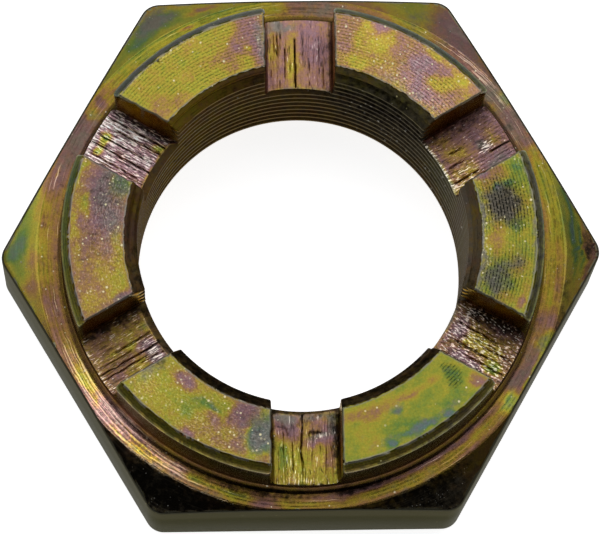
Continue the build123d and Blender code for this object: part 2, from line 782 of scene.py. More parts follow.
LUG_LOOKS = (
    Look(
        film=clouded(
            0.36, (78, 21.5, 1.4, 3.2, 0.27), (77.5, 19.6, 1.2, 0.8, 0.34), (73.2, 22.6, 0.7, 1.5, 0.5),
            (69.5, 23.7, 1.2, 0.4, 0.16), (72, 19.6, 1.4, 0.9, 0.5), (67.5, 21.8, 1.3, 1.3, 0.53),
            (65.5, 23.2, 0.5, 0.9, 0.46), (62.5, 22.8, 1.2, 1.2, 0.3), (63, 20.2, 2, 1.2, 0.38),
            (55.5, 21.8, 1.5, 1.9, 0.13), (53, 22.6, 0.9, 0.9, 0.11), (53.5, 23.8, 1.6, 0.4, 0.48),
            (48.8, 21.5, 1.1, 0.6, 0.48), (46.5, 22.4, 1.1, 0.6, 0.49), (44.2, 23.3, 1, 0.7, 0.47),
            (48, 19.9, 2.6, 1, 0.17), (49, 23, 0.7, 0.4, 0.16), (42, 21, 0.7, 1.6, 0.28),
            (41, 23.2, 0.6, 1, 0.36),
        ),
        lines=clouded(0.6, (78, 21, 1.6, 3, 0.9), (47, 20.4, 4, 2.2, 1)),
        soot=Field(0.04),
        glint=clouded(0.7, (50, 19.6, 5, 1.2, 1.6), (56, 22, 2, 2, 1.2)),
        dull=clouded(0.10, (52, 19.2, 4, 0.7, 0.4), (56, 21.5, 2.2, 1.8, 0.25)),
        shade=clouded(-0.14, (58, 20.6, 4, 2.4, -0.04), (47, 20, 4.5, 2.2, -0.28)),
    ),
    Look(
        film=clouded(
            0.475, (136.5, 20.3, 1.3, 1.4, 0.38), (133, 19.4, 2, 0.6, 0.37), (118, 19.6, 3.4, 0.8, 0.51),
            (124, 22.4, 5.5, 1.4, 0.51), (109.5, 20.3, 2.6, 1.5, 0.32), (103.2, 23.2, 1.6, 1.6, 0.2),
            (105.5, 21.9, 1.6, 0.9, 0.22), (102.6, 20, 1, 2, 0.2), (107.5, 21.3, 1.1, 0.6, 0.2),
            (106.6, 19.5, 0.9, 0.7, 0.47), (105.2, 20.9, 0.5, 0.4, 0.46), (113, 22.8, 2, 1, 0.49),
        ),
        lines=clouded(0.62, (103, 21.5, 2.2, 3, 0.8), (112, 20, 4, 1.4, 0.8)),
        soot=clouded(0.03, (128.5, 24, 0.25, 0.45, 1.1)),
        glint=clouded(0.3, (128, 24.1, 6, 0.35, 1.4), (101.5, 21.5, 0.6, 3, 1.2)),
        dull=clouded(0.05, (101.2, 21.5, 0.7, 2.8, 0.6)),
        shade=clouded(0.0, (136, 20.4, 2.4, 1.6, 0.06)),
    ),
    Look(
        film=clouded(
            0.31, (181, 22, 2.6, 1.3, 0.25), (167, 21, 3.6, 2.2, 0.13), (175, 20, 2.4, 1.2, 0.17),
            (163, 19.6, 1.6, 1, 0.72), (170.5, 22.8, 1.6, 0.6, 0.5), (176.5, 23.8, 2, 0.45, 0.48),
            (169, 23.6, 1.8, 0.4, 0.38), (163, 23.9, 2, 0.35, 0.54), (189, 21.5, 1.6, 2, 0.38),
            (185, 23.6, 1.8, 0.5, 0.43), (198, 23, 1.2, 1.2, 0.44), (195, 20.2, 1.3, 1.2, 0.52),
            (191, 19.2, 1.8, 0.6, 0.48), (199.5, 19.8, 0.8, 1, 0.14), (183, 19.4, 2.4, 0.6, 0.42),
        ),
        lines=clouded(0.3, (168, 20.6, 4.2, 1.4, 0.7)),
        soot=clouded(
            0.3, (167, 20.6, 4.2, 2.2, 0.46), (181, 21.8, 3, 1.8, 0.4), (172, 23.8, 4, 0.5, 0.08),
            (196, 21, 2, 2.4, 0.16), (199.5, 19.6, 0.8, 1, 0.5),
        ),
        glint=clouded(0.8, (176, 20.2, 5, 1.6, 1.2)),
        dull=clouded(
            0.16, (165, 20.4, 3.2, 1.9, 0.62), (175, 19.8, 2.6, 1, 0.55), (182, 22, 2.6, 1.4, 0.12),
            (199.5, 19.6, 0.8, 1, 0.6),
        ),
        shade=clouded(
            0.22, (165, 20.6, 3.6, 2.2, 0.34), (174, 20.6, 2.6, 1.6, 0.3), (182, 22, 2.6, 1.4, 0.34),
            (168, 23.2, 2, 0.5, 0.3), (190, 21.2, 2.6, 2, 0.18), (196, 22, 1.6, 2.4, 0.14),
        ),
    ),
    Look(
        film=clouded(
            0.44, (227, 22, 3.6, 2.2, 0.52), (223, 20, 1.4, 1.5, 0.5), (231, 19.5, 1.5, 0.7, 0.15),
            (236.5, 21.8, 1, 1.2, 0.66), (238.5, 20.8, 0.8, 0.6, 0.62), (241.5, 20.3, 1.6, 0.35, 0.8),
            (245, 19.6, 2.6, 0.7, 0.56), (247, 22.8, 2.8, 1.1, 0.37), (243, 21.5, 1.6, 0.6, 0.28),
            (251.5, 20.4, 1.5, 1.1, 0.17), (254.5, 22.6, 1.6, 1.2, 0.2), (258.5, 23.4, 1, 1, 0.16),
            (257.2, 21.4, 1.6, 2.4, 0.97), (251.8, 19.6, 1.4, 1.2, 0.16), (239, 23.9, 0.8, 0.4, 0.2),
        ),
        lines=clouded(0.2, (226, 19.6, 1.6, 0.8, 0.6)),
        soot=clouded(
            0.2, (257, 21, 1.8, 2.4, 0.46), (247, 21.8, 3.6, 1.8, 0.32), (251.5, 20, 1.8, 1.2, 0.4),
            (231, 19.5, 1.4, 0.7, 0.28), (226, 22, 3, 2, 0.1), (221.3, 19.8, 0.6, 1, 0.6),
        ),
        glint=clouded(0.8, (245, 22.4, 4, 1.4, 1.2), (224, 22.6, 1.5, 1.4, 1.2)),
        dull=clouded(
            0.1, (257, 21.2, 2, 2.6, 0.72), (221.5, 21, 0.6, 2.4, 0.5), (241.5, 20.3, 1.6, 0.4, 0.4),
        ),
        shade=clouded(
            0.17, (256.8, 21.4, 2.6, 3.2, 0.15), (251, 19.8, 1.8, 1.4, 0.34), (247, 22.4, 3.6, 1.4, 0.25),
            (243, 20.4, 2.4, 1, 0.26), (231, 19.5, 1.5, 0.7, 0.18), (226, 22, 2.4, 2, 0.1),
        ),
    ),
    Look(
        film=clouded(
            0.56, (319, 23.3, 0.8, 1, 0.26), (315.3, 21, 0.7, 1.4, 0.68), (310, 22.8, 2.6, 0.9, 0.66),
            (307.5, 23.7, 0.6, 0.4, 0.92), (301, 23.5, 1.5, 0.5, 0.9), (292, 23.6, 0.9, 0.5, 0.9),
            (297, 23, 1.6, 0.5, 0.84), (296, 22.3, 3, 0.6, 0.68), (297, 20.4, 0.65, 0.4, 0.92),
            (303, 20, 2.8, 0.5, 0.38), (287.5, 19.8, 3, 0.7, 0.31), (286, 22.5, 1.6, 1.4, 0.5),
            (306, 21.2, 2.6, 0.8, 0.58),
        ),
        lines=clouded(0.10, (316, 20.4, 0.8, 1.2, 1.1), (314.6, 21.7, 0.6, 0.9, 1.2)),
        soot=clouded(0.1, (316, 20.6, 0.8, 1, 0.35)),
        glint=Field(0.12),
        dull=clouded(
            0.08, (300, 23.4, 6, 0.7, 0.42), (297, 20.4, 0.9, 0.6, 0.5), (315.9, 20.4, 0.7, 0.9, 0.3),
        ),
        shade=clouded(
            0.14, (315.5, 21, 1, 1.6, 0.18), (286, 20, 2.6, 1.2, 0.16), (302, 19.6, 5, 1, 0.14),
            (308, 22, 2.6, 1.2, 0.12),
        ),
    ),
    Look(
        film=clouded(
            0.55, (377, 23.3, 1.8, 0.9, 0.7), (378, 21, 1.1, 1.4, 0.31), (375, 20.4, 0.8, 1, 0.37),
            (379, 19.4, 0.9, 0.7, 0.14), (368.6, 21.2, 2.2, 1.9, 0.4), (362.5, 22, 0.7, 1.2, 0.74),
            (373.4, 20.8, 0.45, 0.45, 1), (370.3, 22.3, 0.6, 0.4, 0.47), (374, 22, 0.5, 0.8, 0.74),
            (358.5, 20, 1.8, 0.8, 0.36), (352, 22.4, 1.3, 0.8, 0.44), (358, 23, 2, 0.8, 0.56),
            (347, 20.4, 2, 1.5, 0.66), (341.5, 23.6, 0.8, 0.5, 0.22), (341.5, 21.8, 0.8, 1.4, 0.44),
            (346, 23.5, 1.4, 0.5, 0.47),
        ),
        lines=clouded(
            0.55, (368.6, 21.2, 2.8, 2.2, 2.6), (347, 20.6, 2.6, 1.9, 1.9), (352.5, 22.2, 1.4, 0.9, 1.5),
            (358, 21, 1.6, 2, 0.6),
        ),
        soot=clouded(
            0.14, (368.6, 21.2, 2.2, 1.9, 0.36), (370.8, 22.4, 1.6, 0.9, 0.66),
            (373.2, 21.6, 0.5, 0.9, 0.62), (363.6, 21.8, 0.5, 1, 0.5), (370.4, 22.3, 0.55, 0.4, 0),
            (347, 20.4, 2, 1.5, 0.34), (378, 23.2, 1.2, 0.8, 0.05),
        ),
        glint=clouded(0.5, (360, 18.9, 5, 0.4, 1.2), (379, 23.9, 0.8, 0.5, 1.6)),
        dull=clouded(
            0.12, (358, 18.7, 7, 0.25, 0.7), (368.6, 21, 2.3, 1.9, 0.88), (347, 20.4, 2.2, 1.6, 0.72),
            (352.5, 22.3, 1.2, 0.7, 0.5), (360, 24.1, 7, 0.25, 0.5),
        ),
        shade=clouded(
            0.14, (368.6, 21.2, 2.3, 1.9, 0.4), (347, 20.5, 2.2, 1.6, 0.28),
            (352.5, 22.3, 1.2, 0.8, 0.26), (370.4, 22.3, 0.5, 0.35, 0), (377, 22.4, 1.6, 1.6, 0.16),
        ),
    ),
)
# In these slot faces, the soot clouds along the walls and at the floors' ends are painted shade, and
# shade below nought is a painted highlight.
SLOT_FACES = (
    SlotFace(
        look=Look(
            film=clouded(
                0.22, (1.1, 19.6, 1.3, 1.5, 0.4), (-1.6, 19.2, 0.9, 1.8, 0.42), (0.3, 23.7, 1, 0.8, 0.38),
                (-2, 23, 1, 1.6, 0.14), (2.4, 22, 1, 2.2, 0.19), (-2.9, 18.6, 0.4, 1.6, 0.5),
            ),
            lines=Field(0.8),
            soot=clouded(
                0.25, (3, 21, 1.1, 5, 0.7), (1.1, 19.7, 1.3, 1.5, 0.08), (-1.6, 19.2, 1, 1.8, 0.06),
                (0.3, 23.6, 1, 0.8, 0.1), (-2, 22.8, 1, 1.6, 0.1), (0.4, 21.8, 0.8, 0.8, 0.45),
            ),
            glint=clouded(
                0.35, (-0.3, 22.3, 0.5, 0.7, 1.6), (-2.6, 18.8, 0.5, 1.8, 1.6),
                (-1.5, 19.2, 0.9, 1.6, 0.9),
            ),
            dull=clouded(0.15, (-2.2, 22.8, 1, 1.6, 0.6), (0, 22.2, 0.6, 0.8, 0.7)),
            shade=clouded(0.05, (2, 21.6, 1.4, 3, 0.20), (-1.6, 19.2, 1, 1.6, -0.15)),
        ),
        tear=0.04,
        length=5.0,
        seed=1.3,
        cracks=(
            Crack(-1.0, 22.4, 25.2, 0.06, 0.14, 0.04), Crack(-2.05, 17.2, 20.6, 0.06, 0.14, 0.04),
            Crack(-0.4, 17.2, 20.0, 0.05, 0.08, 0.05), Crack(0.9, 18.4, 20.4, 0.05, 0.08, 0.05),
        ),
        scabs=(Scab(-0.2, 22.3, 0.4, 0.5, 0.06),),
        fineness=(0.9, 1.4),
    ),
    SlotFace(
        look=Look(
            film=clouded(
                0.24, (0.7, 21, 0.9, 2.6, 0.44), (-1.7, 21.6, 1.3, 3, 0.13), (-0.9, 23.8, 1.6, 0.6, 0.18),
                (0.3, 19.6, 0.9, 0.9, 0.5), (1.7, 20.2, 0.3, 2.6, 0.28), (2.7, 22, 0.6, 1.8, 0.44),
                (-2.4, 18.8, 1, 1.4, 0.26), (-0.6, 18.4, 0.8, 1, 0.24), (0.9, 18, 0.8, 0.6, 0.42),
            ),
            lines=Field(0.5),
            soot=clouded(
                0.12, (-3.2, 21, 0.5, 4, 0.6), (2, 24.4, 1.2, 0.5, 0.35), (2.6, 20, 0.8, 1.6, 0.3),
                (0, 17.4, 4, 0.3, 0.9),
            ),
            glint=clouded(0.12, (0.4, 20, 0.8, 0.8, 0.6)),
            dull=clouded(0.04, (1.8, 24.3, 1.9, 0.7, 0.9)),
            shade=clouded(-0.12, (-2.8, 20, 0.8, 3, 0.1)),
        ),
        tear=0.040,
        length=16.0,
        seed=2.7,
        cracks=(
            Crack(0.35, 16.8, 23.2, 0.06, 0.15, 0.03), Crack(1.45, 18.4, 22.2, 0.045, 0.07, 0.03),
            Crack(2.25, 20.8, 23.8, 0.05, 0.09, 0.02), Crack(2.65, 21.4, 23.6, 0.05, 0.08, 0.02),
            Crack(1.9, 21.8, 24.0, 0.04, 0.07, 0.02), Crack(-1.2, 17.6, 20.8, 0.04, 0.05, 0.03),
            Crack(-2.2, 18.6, 22.4, 0.04, 0.05, 0.03), Crack(-0.5, 20.0, 23.0, 0.035, 0.04, 0.03),
            Crack(-1.7, 19.4, 23.4, 0.03, 0.03, 0.03), Crack(2.9, 17.8, 21.2, 0.03, 0.04, 0.02),
            Crack(0.9, 19.0, 21.8, 0.03, 0.03, 0.03), Crack(-2.7, 17.4, 20.4, 0.03, 0.04, 0.03),
            Crack(2.0, 17.2, 19.8, 0.03, 0.04, 0.02),
        ),
        fineness=(1.0, 0.5),
    ),
    SlotFace(
        look=Look(
            film=clouded(
                0.04, (-0.4, 24, 0.9, 0.5, 0.72), (1, 23.8, 0.6, 0.5, 0.7), (0.6, 21.4, 1.4, 0.7, 0.18),
                (-1, 20.4, 1, 0.9, 0.14), (-2.2, 18.6, 0.6, 1, 0.62), (1.6, 19, 1.4, 1, 0.15),
                (2.8, 21, 0.7, 3, 0.16),
            ),
            lines=Field(1.3),
            soot=clouded(
                0.08, (-3.4, 21, 0.7, 5, 1), (-2.4, 22.2, 0.4, 1.6, 0.5), (0, 17.3, 4, 0.35, 0.9),
                (3.3, 21, 0.4, 3, 0.3),
            ),
            glint=clouded(0.95, (1, 19.6, 2, 1.6, 0.85), (-1.4, 22, 1.6, 2.4, 1.25)),
            dull=clouded(0.05, (-2, 21, 0.9, 4, 0.25)),
            shade=Field(-0.6),
        ),
        tear=0.05,
        length=11.0,
        seed=3.1,
        cracks=(
            Crack(0.55, 17.0, 25.2, 0.06, 0.15, 0.05), Crack(-0.5, 19.0, 25.0, 0.05, 0.12, 0.05),
            Crack(-1.7, 17.6, 23.6, 0.06, 0.12, 0.05), Crack(1.7, 18.6, 24.6, 0.05, 0.10, 0.05),
            Crack(-2.6, 17.4, 24.8, 0.07, 0.14, 0.06), Crack(2.6, 17.6, 23.4, 0.05, 0.08, 0.05),
        ),
        fineness=(0.95, 1.0),
    ),
    SlotFace(
        look=Look(
            film=clouded(
                0.33, (-0.8, 20, 1.2, 2.4, 0.44), (-1, 22.6, 1.2, 1.2, 0.38), (0.6, 18.8, 0.9, 1.2, 0.1),
                (2.2, 18.8, 0.9, 1, 0.06), (3, 18, 0.5, 1, 0.7), (2, 21, 0.9, 1.4, 0.44),
                (1.8, 23.4, 1, 1, 0.26), (-2, 23.6, 1, 1, 0.24),
            ),
            lines=Field(0.7),
            soot=clouded(
                0.3, (-3.3, 21, 0.9, 5, 0.9), (-1.9, 20, 0.9, 3, 0.46), (-1.6, 24, 1.4, 0.6, 0.5),
                (2, 18.6, 1.2, 1.4, 0.05), (-0.2, 21, 0.6, 2, 0.16),
            ),
            glint=clouded(
                0.5, (1.6, 18.4, 1.6, 1.4, 1.2), (0, 24.8, 4, 0.25, 1.3), (-0.8, 20.4, 1, 2, 0.7),
            ),
            dull=clouded(0.2, (1.6, 18.6, 1.6, 1.2, 0.45)),
        ),
        tear=0.05,
        length=12.0,
        seed=4.9,
        cracks=(
            Crack(0.9, 17.2, 25.2, 0.06, 0.14, 0.05), Crack(1.5, 19.4, 25.0, 0.05, 0.10, 0.05),
            Crack(-0.5, 17.4, 22.6, 0.05, 0.09, 0.05), Crack(1.9, 17.2, 20.8, 0.05, 0.08, 0.05),
            Crack(2.9, 17.6, 22.0, 0.05, 0.07, 0.05), Crack(0.2, 20.4, 24.8, 0.045, 0.06, 0.05),
        ),
        fineness=(1.0, 1.0),
    ),
    SlotFace(
        look=Look(
            film=clouded(
                0.45, (-1.8, 18.8, 1.6, 1.6, 0.13), (1.2, 18.6, 0.9, 1, 0.28),
                (2.6, 19.6, 0.9, 1.2, 0.16), (2.6, 22, 0.6, 1.6, 0.28), (-2.3, 22.2, 0.6, 1.6, 0.62),
                (-1, 22.8, 0.6, 1.6, 0.54), (1.4, 20.4, 1.4, 0.5, 0.14),
            ),
            lines=Field(0.6),
            soot=clouded(
                0.14, (3.3, 20.4, 0.7, 4, 0.85), (2.4, 18.2, 0.8, 1.6, 0.5), (-3.4, 20.4, 0.4, 4, 0.7),
                (-1.6, 19.6, 1.2, 0.6, 0.35), (1, 22.4, 1.4, 1.6, 0), (0, 25, 4, 0.25, 1),
            ),
            glint=clouded(
                0.35, (-1.2, 22.8, 0.9, 1.8, 0.9), (1.4, 20, 1.1, 0.2, 1.6), (0, 24.6, 4, 0.25, 1.2),
                (1.4, 22.8, 1.2, 1.6, 0.5),
            ),
            dull=clouded(
                0.1, (-2, 18, 1.6, 0.9, 0.8), (0.8, 17.7, 1.2, 0.5, 0.8), (2.8, 18.6, 0.6, 1.6, 0.8),
                (1.2, 19.9, 1.2, 0.35, 0.7),
            ),
            shade=clouded(-0.10, (-1, 22.8, 1, 2, -0.45), (1.4, 23, 1.4, 1.8, -0.32)),
        ),
        tear=0.055,
        length=12.0,
        seed=5.6,
        cracks=(
            Crack(-0.35, 16.8, 22.8, 0.06, 0.14, 0.08), Crack(-1.3, 20.2, 23.8, 0.05, 0.07, 0.04),
            Crack(-0.3, 22.4, 24.6, 0.045, 0.07, 0.03), Crack(-2.3, 19.0, 22.0, 0.04, 0.06, 0.03),
            Crack(2.2, 20.6, 24.4, 0.04, 0.05, 0.03),
        ),
        scabs=(Scab(-1.9, 18.0, 1.5, 1.2, 0.05), Scab(1.1, 19.7, 0.9, 0.3, -0.10)),
        fineness=(1.0, 0.7),
    ),
    SlotFace(
        look=Look(
            film=clouded(
                0.28, (0.5, 22.6, 1.4, 1.5, 0.44), (0.1, 20, 1.4, 1.6, 0.46), (-1.8, 20.4, 1, 1.6, 0.08),
                (-2.2, 22.4, 1, 1.2, 0.08), (0.8, 18.4, 1.4, 0.9, 0.04), (-1.4, 23.2, 0.7, 0.8, 0.68),
                (-2.8, 18.4, 0.8, 1, 0.26),
            ),
            lines=Field(1.0),
            soot=clouded(
                0.22, (3.2, 21.6, 1.2, 4, 1), (1.9, 22.6, 1, 2.4, 0.6), (-0.2, 21.4, 0.5, 1, 0.6),
                (-2.6, 21, 1, 4, 0.1),
            ),
            glint=clouded(
                0.9, (0.3, 19.8, 1.1, 2.2, 1.1), (-2.2, 21.6, 1, 3, 1), (2, 19, 1.4, 1.8, 1.2),
                (0.4, 23, 0.8, 0.8, 1.2), (2.2, 22, 1, 2.4, 0.5),
            ),
            dull=Field(0.08),
            shade=clouded(
                0.04, (-2.2, 21.6, 1.2, 3, -0.1), (2.6, 21.4, 1.4, 4, 0.3), (0.3, 21, 1.4, 3, -0.45),
            ),
        ),
        tear=0.06,
        length=6.0,
        seed=6.2,
        cracks=(
            Crack(1.3, 17.6, 22.6, 0.06, 0.12, 0.10), Crack(-0.6, 18.2, 23.4, 0.06, 0.13, 0.08),
            Crack(-1.5, 20.0, 25.0, 0.05, 0.10, 0.07), Crack(0.2, 21.2, 24.8, 0.06, 0.12, 0.07),
        ),
        scabs=(Scab(-0.4, 19.6, 0.7, 0.6, -0.10),),
        fineness=(0.85, 2.0),
    ),
)
BEVEL_LOOK = Look(
    film=clouded(
        0.48, (120, 24.6, 14, 3, 0.9), (60, 24.6, 9, 3, 0.72), (0, 24.6, 9, 3, 0.6),
        (168, 24.6, 4, 3, 0.68), (184, 24.6, 5, 3, 0.6), (195, 24.6, 3, 3, 0.52),
    ),
    lines=Field(0.8),
    # The bevel's soot and shade are largely painted shade, darkest on the near side at 240 and 300
    # degrees.
    soot=clouded(
        0.42, (120, 24.6, 14, 3, 0.4), (60, 24.6, 12, 3, 0.56), (0, 24.6, 12, 3, 0.52),
        (180, 24.6, 12, 3, 0.22), (306, 24.6, 6, 3, 0.32),
    ),
    glint=Field(0.3),
    dull=clouded(
        0.25, (120, 24.6, 14, 3, 0.7), (0, 24.6, 12, 3, 0.6), (180, 24.6, 12, 3, 0.25),
        (310, 24.6, 6, 3, 0.5), (60, 24.6, 12, 3, 0.5),
    ),
    shade=clouded(
        0.15, (240, 24.6, 12, 3, 0.45), (300, 24.6, 12, 3, 0.5), (0, 24.6, 12, 3, 0.3),
        (60, 24.6, 12, 3, 0.35), (120, 24.6, 12, 3, 0.28), (180, 24.6, 12, 3, 0.12),
    ),
)
WALL_LOOK = Look(
    film=clouded(
        0.55, (180, 25, 12, 3, 0.5), (270, 25, 10, 3, 0.44), (232, 25, 6, 3, 0.44), (310, 25, 6, 3, 0.6),
    ),
    lines=Field(0.5),
    # The wall's soot clouds paint it darker towards the bottom slot and on the right, as painted shade.
    soot=clouded(
        0.2, (254, 25, 5, 3, 0.6), (284, 25, 5, 3, 0.55), (232, 25, 5, 3, 0), (360, 25, 9, 3, 0.4),
    ),
    glint=Field(0.3),
    dull=clouded(0.15, (306, 25, 8, 3, 0.5)),
    # Shade below nought paints highlights on the wall at 234 and 310 degrees.
    shade=clouded(-0.15, (234, 25, 5, 3, -0.6), (310, 25, 6, 3, -0.4)),
)


@dataclass
class Crown:
    """The six lugs and the slots between them, from the slot at 30 degrees on.

    Args:
        land: How far the top faces start outside the countersink.
        rim: Width of the grey rim round a top face.
        chatter: Unevenness of the top faces' round edges.
        burr: Unevenness of their edges along the slots, downwards.
        chips: How far those edges are chipped back.
        chip_reach: How far from the slot a chip draws the face.
        narrow: Edges of the floors shorter than this aren't cut.
        cuts: Cuts in the floors' edges, away from the axis and across.
    """

    drawing: Drawing
    columns: Columns
    lug_looks: tuple[Look, ...] = LUG_LOOKS
    slots: tuple[SlotFace, ...] = SLOT_FACES
    bevel_look: Look = BEVEL_LOOK
    wall_look: Look = WALL_LOOK
    slot_wall_look: Look = Look(Field(0.32))
    land: float = 0.04 * MM
    rim: float = 0.14 * MM
    chatter: float = 0.09 * MM
    burr: float = 0.05 * MM
    chips: float = 0.15 * MM
    chip_reach: float = 0.5 * MM
    narrow: float = 0.25 * MM
    cuts: tuple[int, int] = (2, 5)

    def build(self, skin: Skin, bore: Bore, uppers: list[np.ndarray]) -> None:
        """Lays lugs, slot floors and slot walls.

        Args:
            skin: Receives the patches.
            bore: Gives the height at which the bore's wall ends.
            uppers: The bore wall inside each lug.
        """
        lugs = [self._lug(skin, k) for k in range(SLOTS)]
        floors = [self._floor(skin, k, bore) for k in range(SLOTS)]
        for k in range(SLOTS):
            self._wall(skin, floors[k][:, -1], lugs[k][:, 0], uppers[k][:, 0])
            self._wall(skin, floors[k][:, 0], lugs[k - 1][:, -1], uppers[k - 1][:, -1])

    def _lug(self, skin: Skin, number: int) -> np.ndarray:
        """Top face, bevel and outer wall of one lug, down to the foot of its slot walls."""
        drawing, run = self.drawing, self.columns.lug_run(number)
        gap = self.columns.wall_gap[run]
        inner, outer = drawing.countersink + self.land, drawing.crown - drawing.crown_bevel
        edges = ramp((0, 0.05, 0.12, 0.25))
        middle = ramp(np.linspace(0.55, (outer - inner) / MM - 0.55, 11))
        face = np.concatenate([inner + edges, inner + middle, outer - edges[::-1]])
        down = np.linspace(0, 1, 4)[1:, None] * drawing.crown_bevel
        edge_foot = drawing.height - drawing.crown_bevel
        wall = edge_foot + np.linspace(0, 1, 6)[1:, None] * (drawing.wall_foot - edge_foot)
        radius = np.concatenate([face, outer + down, 0 * wall + drawing.crown])
        height = np.concatenate([0 * face + drawing.height, drawing.height - down, wall])
        out = np.concatenate([0 * face, 0 * down + 0.7, 0 * wall + 1])
        up = np.concatenate([0 * face + 1, 0 * down + 0.7, 0 * wall])
        grown = np.concatenate([0 * face, down / drawing.crown_bevel, 0 * wall + 1])
        rounding = drawing.lug_edge + grown * (drawing.lug_corner - drawing.lug_edge)
        drop = eased(gap + 0 * radius, rounding)
        radius, height = radius - out * drop, height - up * drop
        count, low = len(face), len(face) + len(down)
        radius[0] += ragged(len(run), 20 + number, self.chatter)
        radius[count - 1] += ragged(len(run), 40 + number, self.chatter)
        fallen = np.abs(ragged(count - 1, 60 + number, self.burr))
        height[: count - 1, gap < 0.12 * MM] -= fallen[:, None]
        grid = self._chip(self.columns.place(run, radius, height), count, gap, number)
        top = grid[:count]
        ends = np.minimum(face - inner, outer - face)
        rim = np.exp(-np.minimum(ends, 0.5 * gap) / self.rim)
        skin.turned(top, Across.RADIUS, Finish.FACED, self.lug_looks[number], rim)
        skin.turned(grid[count - 1 : low], Across.RADIUS, Finish.BEVELLED, self.bevel_look)
        skin.turned(grid[low - 1 :], Across.HEIGHT, Finish.TURNED, self.wall_look)
        self._lip(skin, top[0], run)
        self._skirt(skin, run, grid[-1])
        return grid

    def _chip(self, grid: np.ndarray, count: int, gap: np.ndarray, number: int) -> np.ndarray:
        """Draws the top face back from the slot walls here and there.

        Args:
            grid: The lug's points.
            count: Rows of the top face.
            gap: Distance of each line from the nearest slot wall.
            number: Number of the lug.
        """
        steps = np.random.default_rng(80 + number).uniform(-0.6, 1.0, (count, 2)).clip(0) ** 1.5
        steps[[0, -1]] = 0
        inward = np.where(np.arange(len(gap)) < len(gap) / 2, 1.0, -1.0)
        chosen = np.where(inward > 0, steps[:, :1], steps[:, 1:])
        pull = inward * chosen * self.chips * np.clip(1 - gap / self.chip_reach, 0, 1)
        angle = pull / np.hypot(grid[:count, :, 0], grid[:count, :, 1])
        x, y = grid[:count, :, 0].copy(), grid[:count, :, 1].copy()
        grid[:count, :, 0] = x * np.cos(angle) - y * np.sin(angle)
        grid[:count, :, 1] = x * np.sin(angle) + y * np.cos(angle)
        return grid

    def _lip(self, skin: Skin, top: np.ndarray, run: np.ndarray) -> None:
        """The narrow edge between a lug's top face and its countersink."""
        drawing = self.drawing
        below = drawing.height - drawing.lip
        drop = eased(self.columns.wall_gap[run], drawing.lug_edge)
        radius = drawing.bore_radius(0 * drop, below + 0 * drop) + drop
        grid = np.stack([self.columns.place(run, radius, below + 0 * drop), top])
        skin.turned(grid, Across.HEIGHT, Finish.BEVELLED, self.bevel_look)

    def _skirt(self, skin: Skin, run: np.ndarray, top: np.ndarray) -> None:
        """The low ring of wall between a slot's floor and the fillet at the crown's root."""
        drawing = self.drawing
        foot = drawing.shoulder + drawing.crown_root
        way = np.linspace(0, 1, 4)[:, None]
        start = np.hypot(top[:, 0], top[:, 1])
        radius = start + way * (drawing.crown - start)
        height = top[:, 2] + way * (foot - top[:, 2])
        grid = self.columns.place(run, radius, height)
        skin.turned(grid, Across.HEIGHT, Finish.TURNED, self.wall_look)

    def _floor(self, skin: Skin, number: int, bore: Bore) -> np.ndarray:
        """Floor of one slot with the rounding along both walls."""
        drawing, run = self.drawing, self.columns.slot_run(number)
        gap = -self.columns.wall_gap[run]
        height = bore.foot(run)
        inner = drawing.bore_radius(self.columns.angle(run, drawing.bore), height)
        outer = drawing.crown - drawing.lug_corner * np.clip(1 - gap / (0.35 * MM), 0, 1) ** 2
        radius = inner + np.linspace(0, 1, 17)[:, None] * (outer - inner)
        grid = self.columns.place(run, radius, height)
        marks = np.stack([self.columns.offset[run] + 0 * radius, radius], axis=-1)
        marks = marks * self.slots[number].fineness + number * drawing.slot_width
        look = self.slots[number].look.over(Places.in_slot(grid, slot_angle(number)))
        skin.patch(grid, marks, Finish.MILLED, look)
        self._skirt(skin, run, grid[-1])
        return grid

    def _wall(self, skin: Skin, floor: np.ndarray, lug: np.ndarray, bore: np.ndarray) -> None:
        """One flat slot wall, inside the outline that its neighbours leave."""
        outline = np.concatenate([floor, lug[::-1], bore[::-1]])
        marks = np.stack([outline[:, 2], np.hypot(outline[:, 0], outline[:, 1])], axis=-1)
        skin.plate(outline, marks, Finish.WALLED, self.slot_wall_look)

    def fill_in(self, sheet: bmesh.types.BMesh) -> None:
        """Cuts the lugs' top faces finer, so that their clouds have clear outlines.

        Args:
            sheet: The joined skin.
        """
        tops = {f for f in sheet.faces if f.material_index == Finish.FACED}
        inner = [e for e in sheet.edges if all(f in tops for f in e.link_faces)]
        bmesh.ops.subdivide_edges(sheet, edges=inner, cuts=1, use_grid_fill=True)
        added = corners_of(sheet, Finish.FACED)
        numbers = np.floor((directions(added) - FIRST_SLOT) / SECTOR).astype(int) % SLOTS
        for number, look in enumerate(self.lug_looks):
            own = [added[place] for place in np.flatnonzero(numbers == number)]
            paint(sheet, own, look.over(Places.of(np.array([vertex.co for vertex in own]))))

    def _cut_floors(self, sheet: bmesh.types.BMesh, cuts: int, outward: bool) -> None:
        """Cuts the slot floors finer one way, apart from what is narrow already.

        Args:
            sheet: The joined skin.
            cuts: Number of cuts in each edge.
            outward: Whether the edges that run away from the axis are cut, or those across.
        """
        floors = {f for f in sheet.faces if f.material_index == Finish.MILLED}
        chosen = []
        for edge in sheet.edges:
            if edge.calc_length() < self.narrow or not all(f in floors for f in edge.link_faces):
                continue
            start, end = (vertex.co.xy for vertex in edge.verts)
            middle = start + end
            number = round((math.atan2(middle.y, middle.x) - FIRST_SLOT) / SECTOR)
            angle = slot_angle(number)
            along = abs((end - start).dot(Vector((math.cos(angle), math.sin(angle)))))
            if (along > 0.7 * (end - start).length) == outward:
                chosen.append(edge)
        bmesh.ops.subdivide_edges(sheet, edges=chosen, cuts=cuts, use_grid_fill=True)

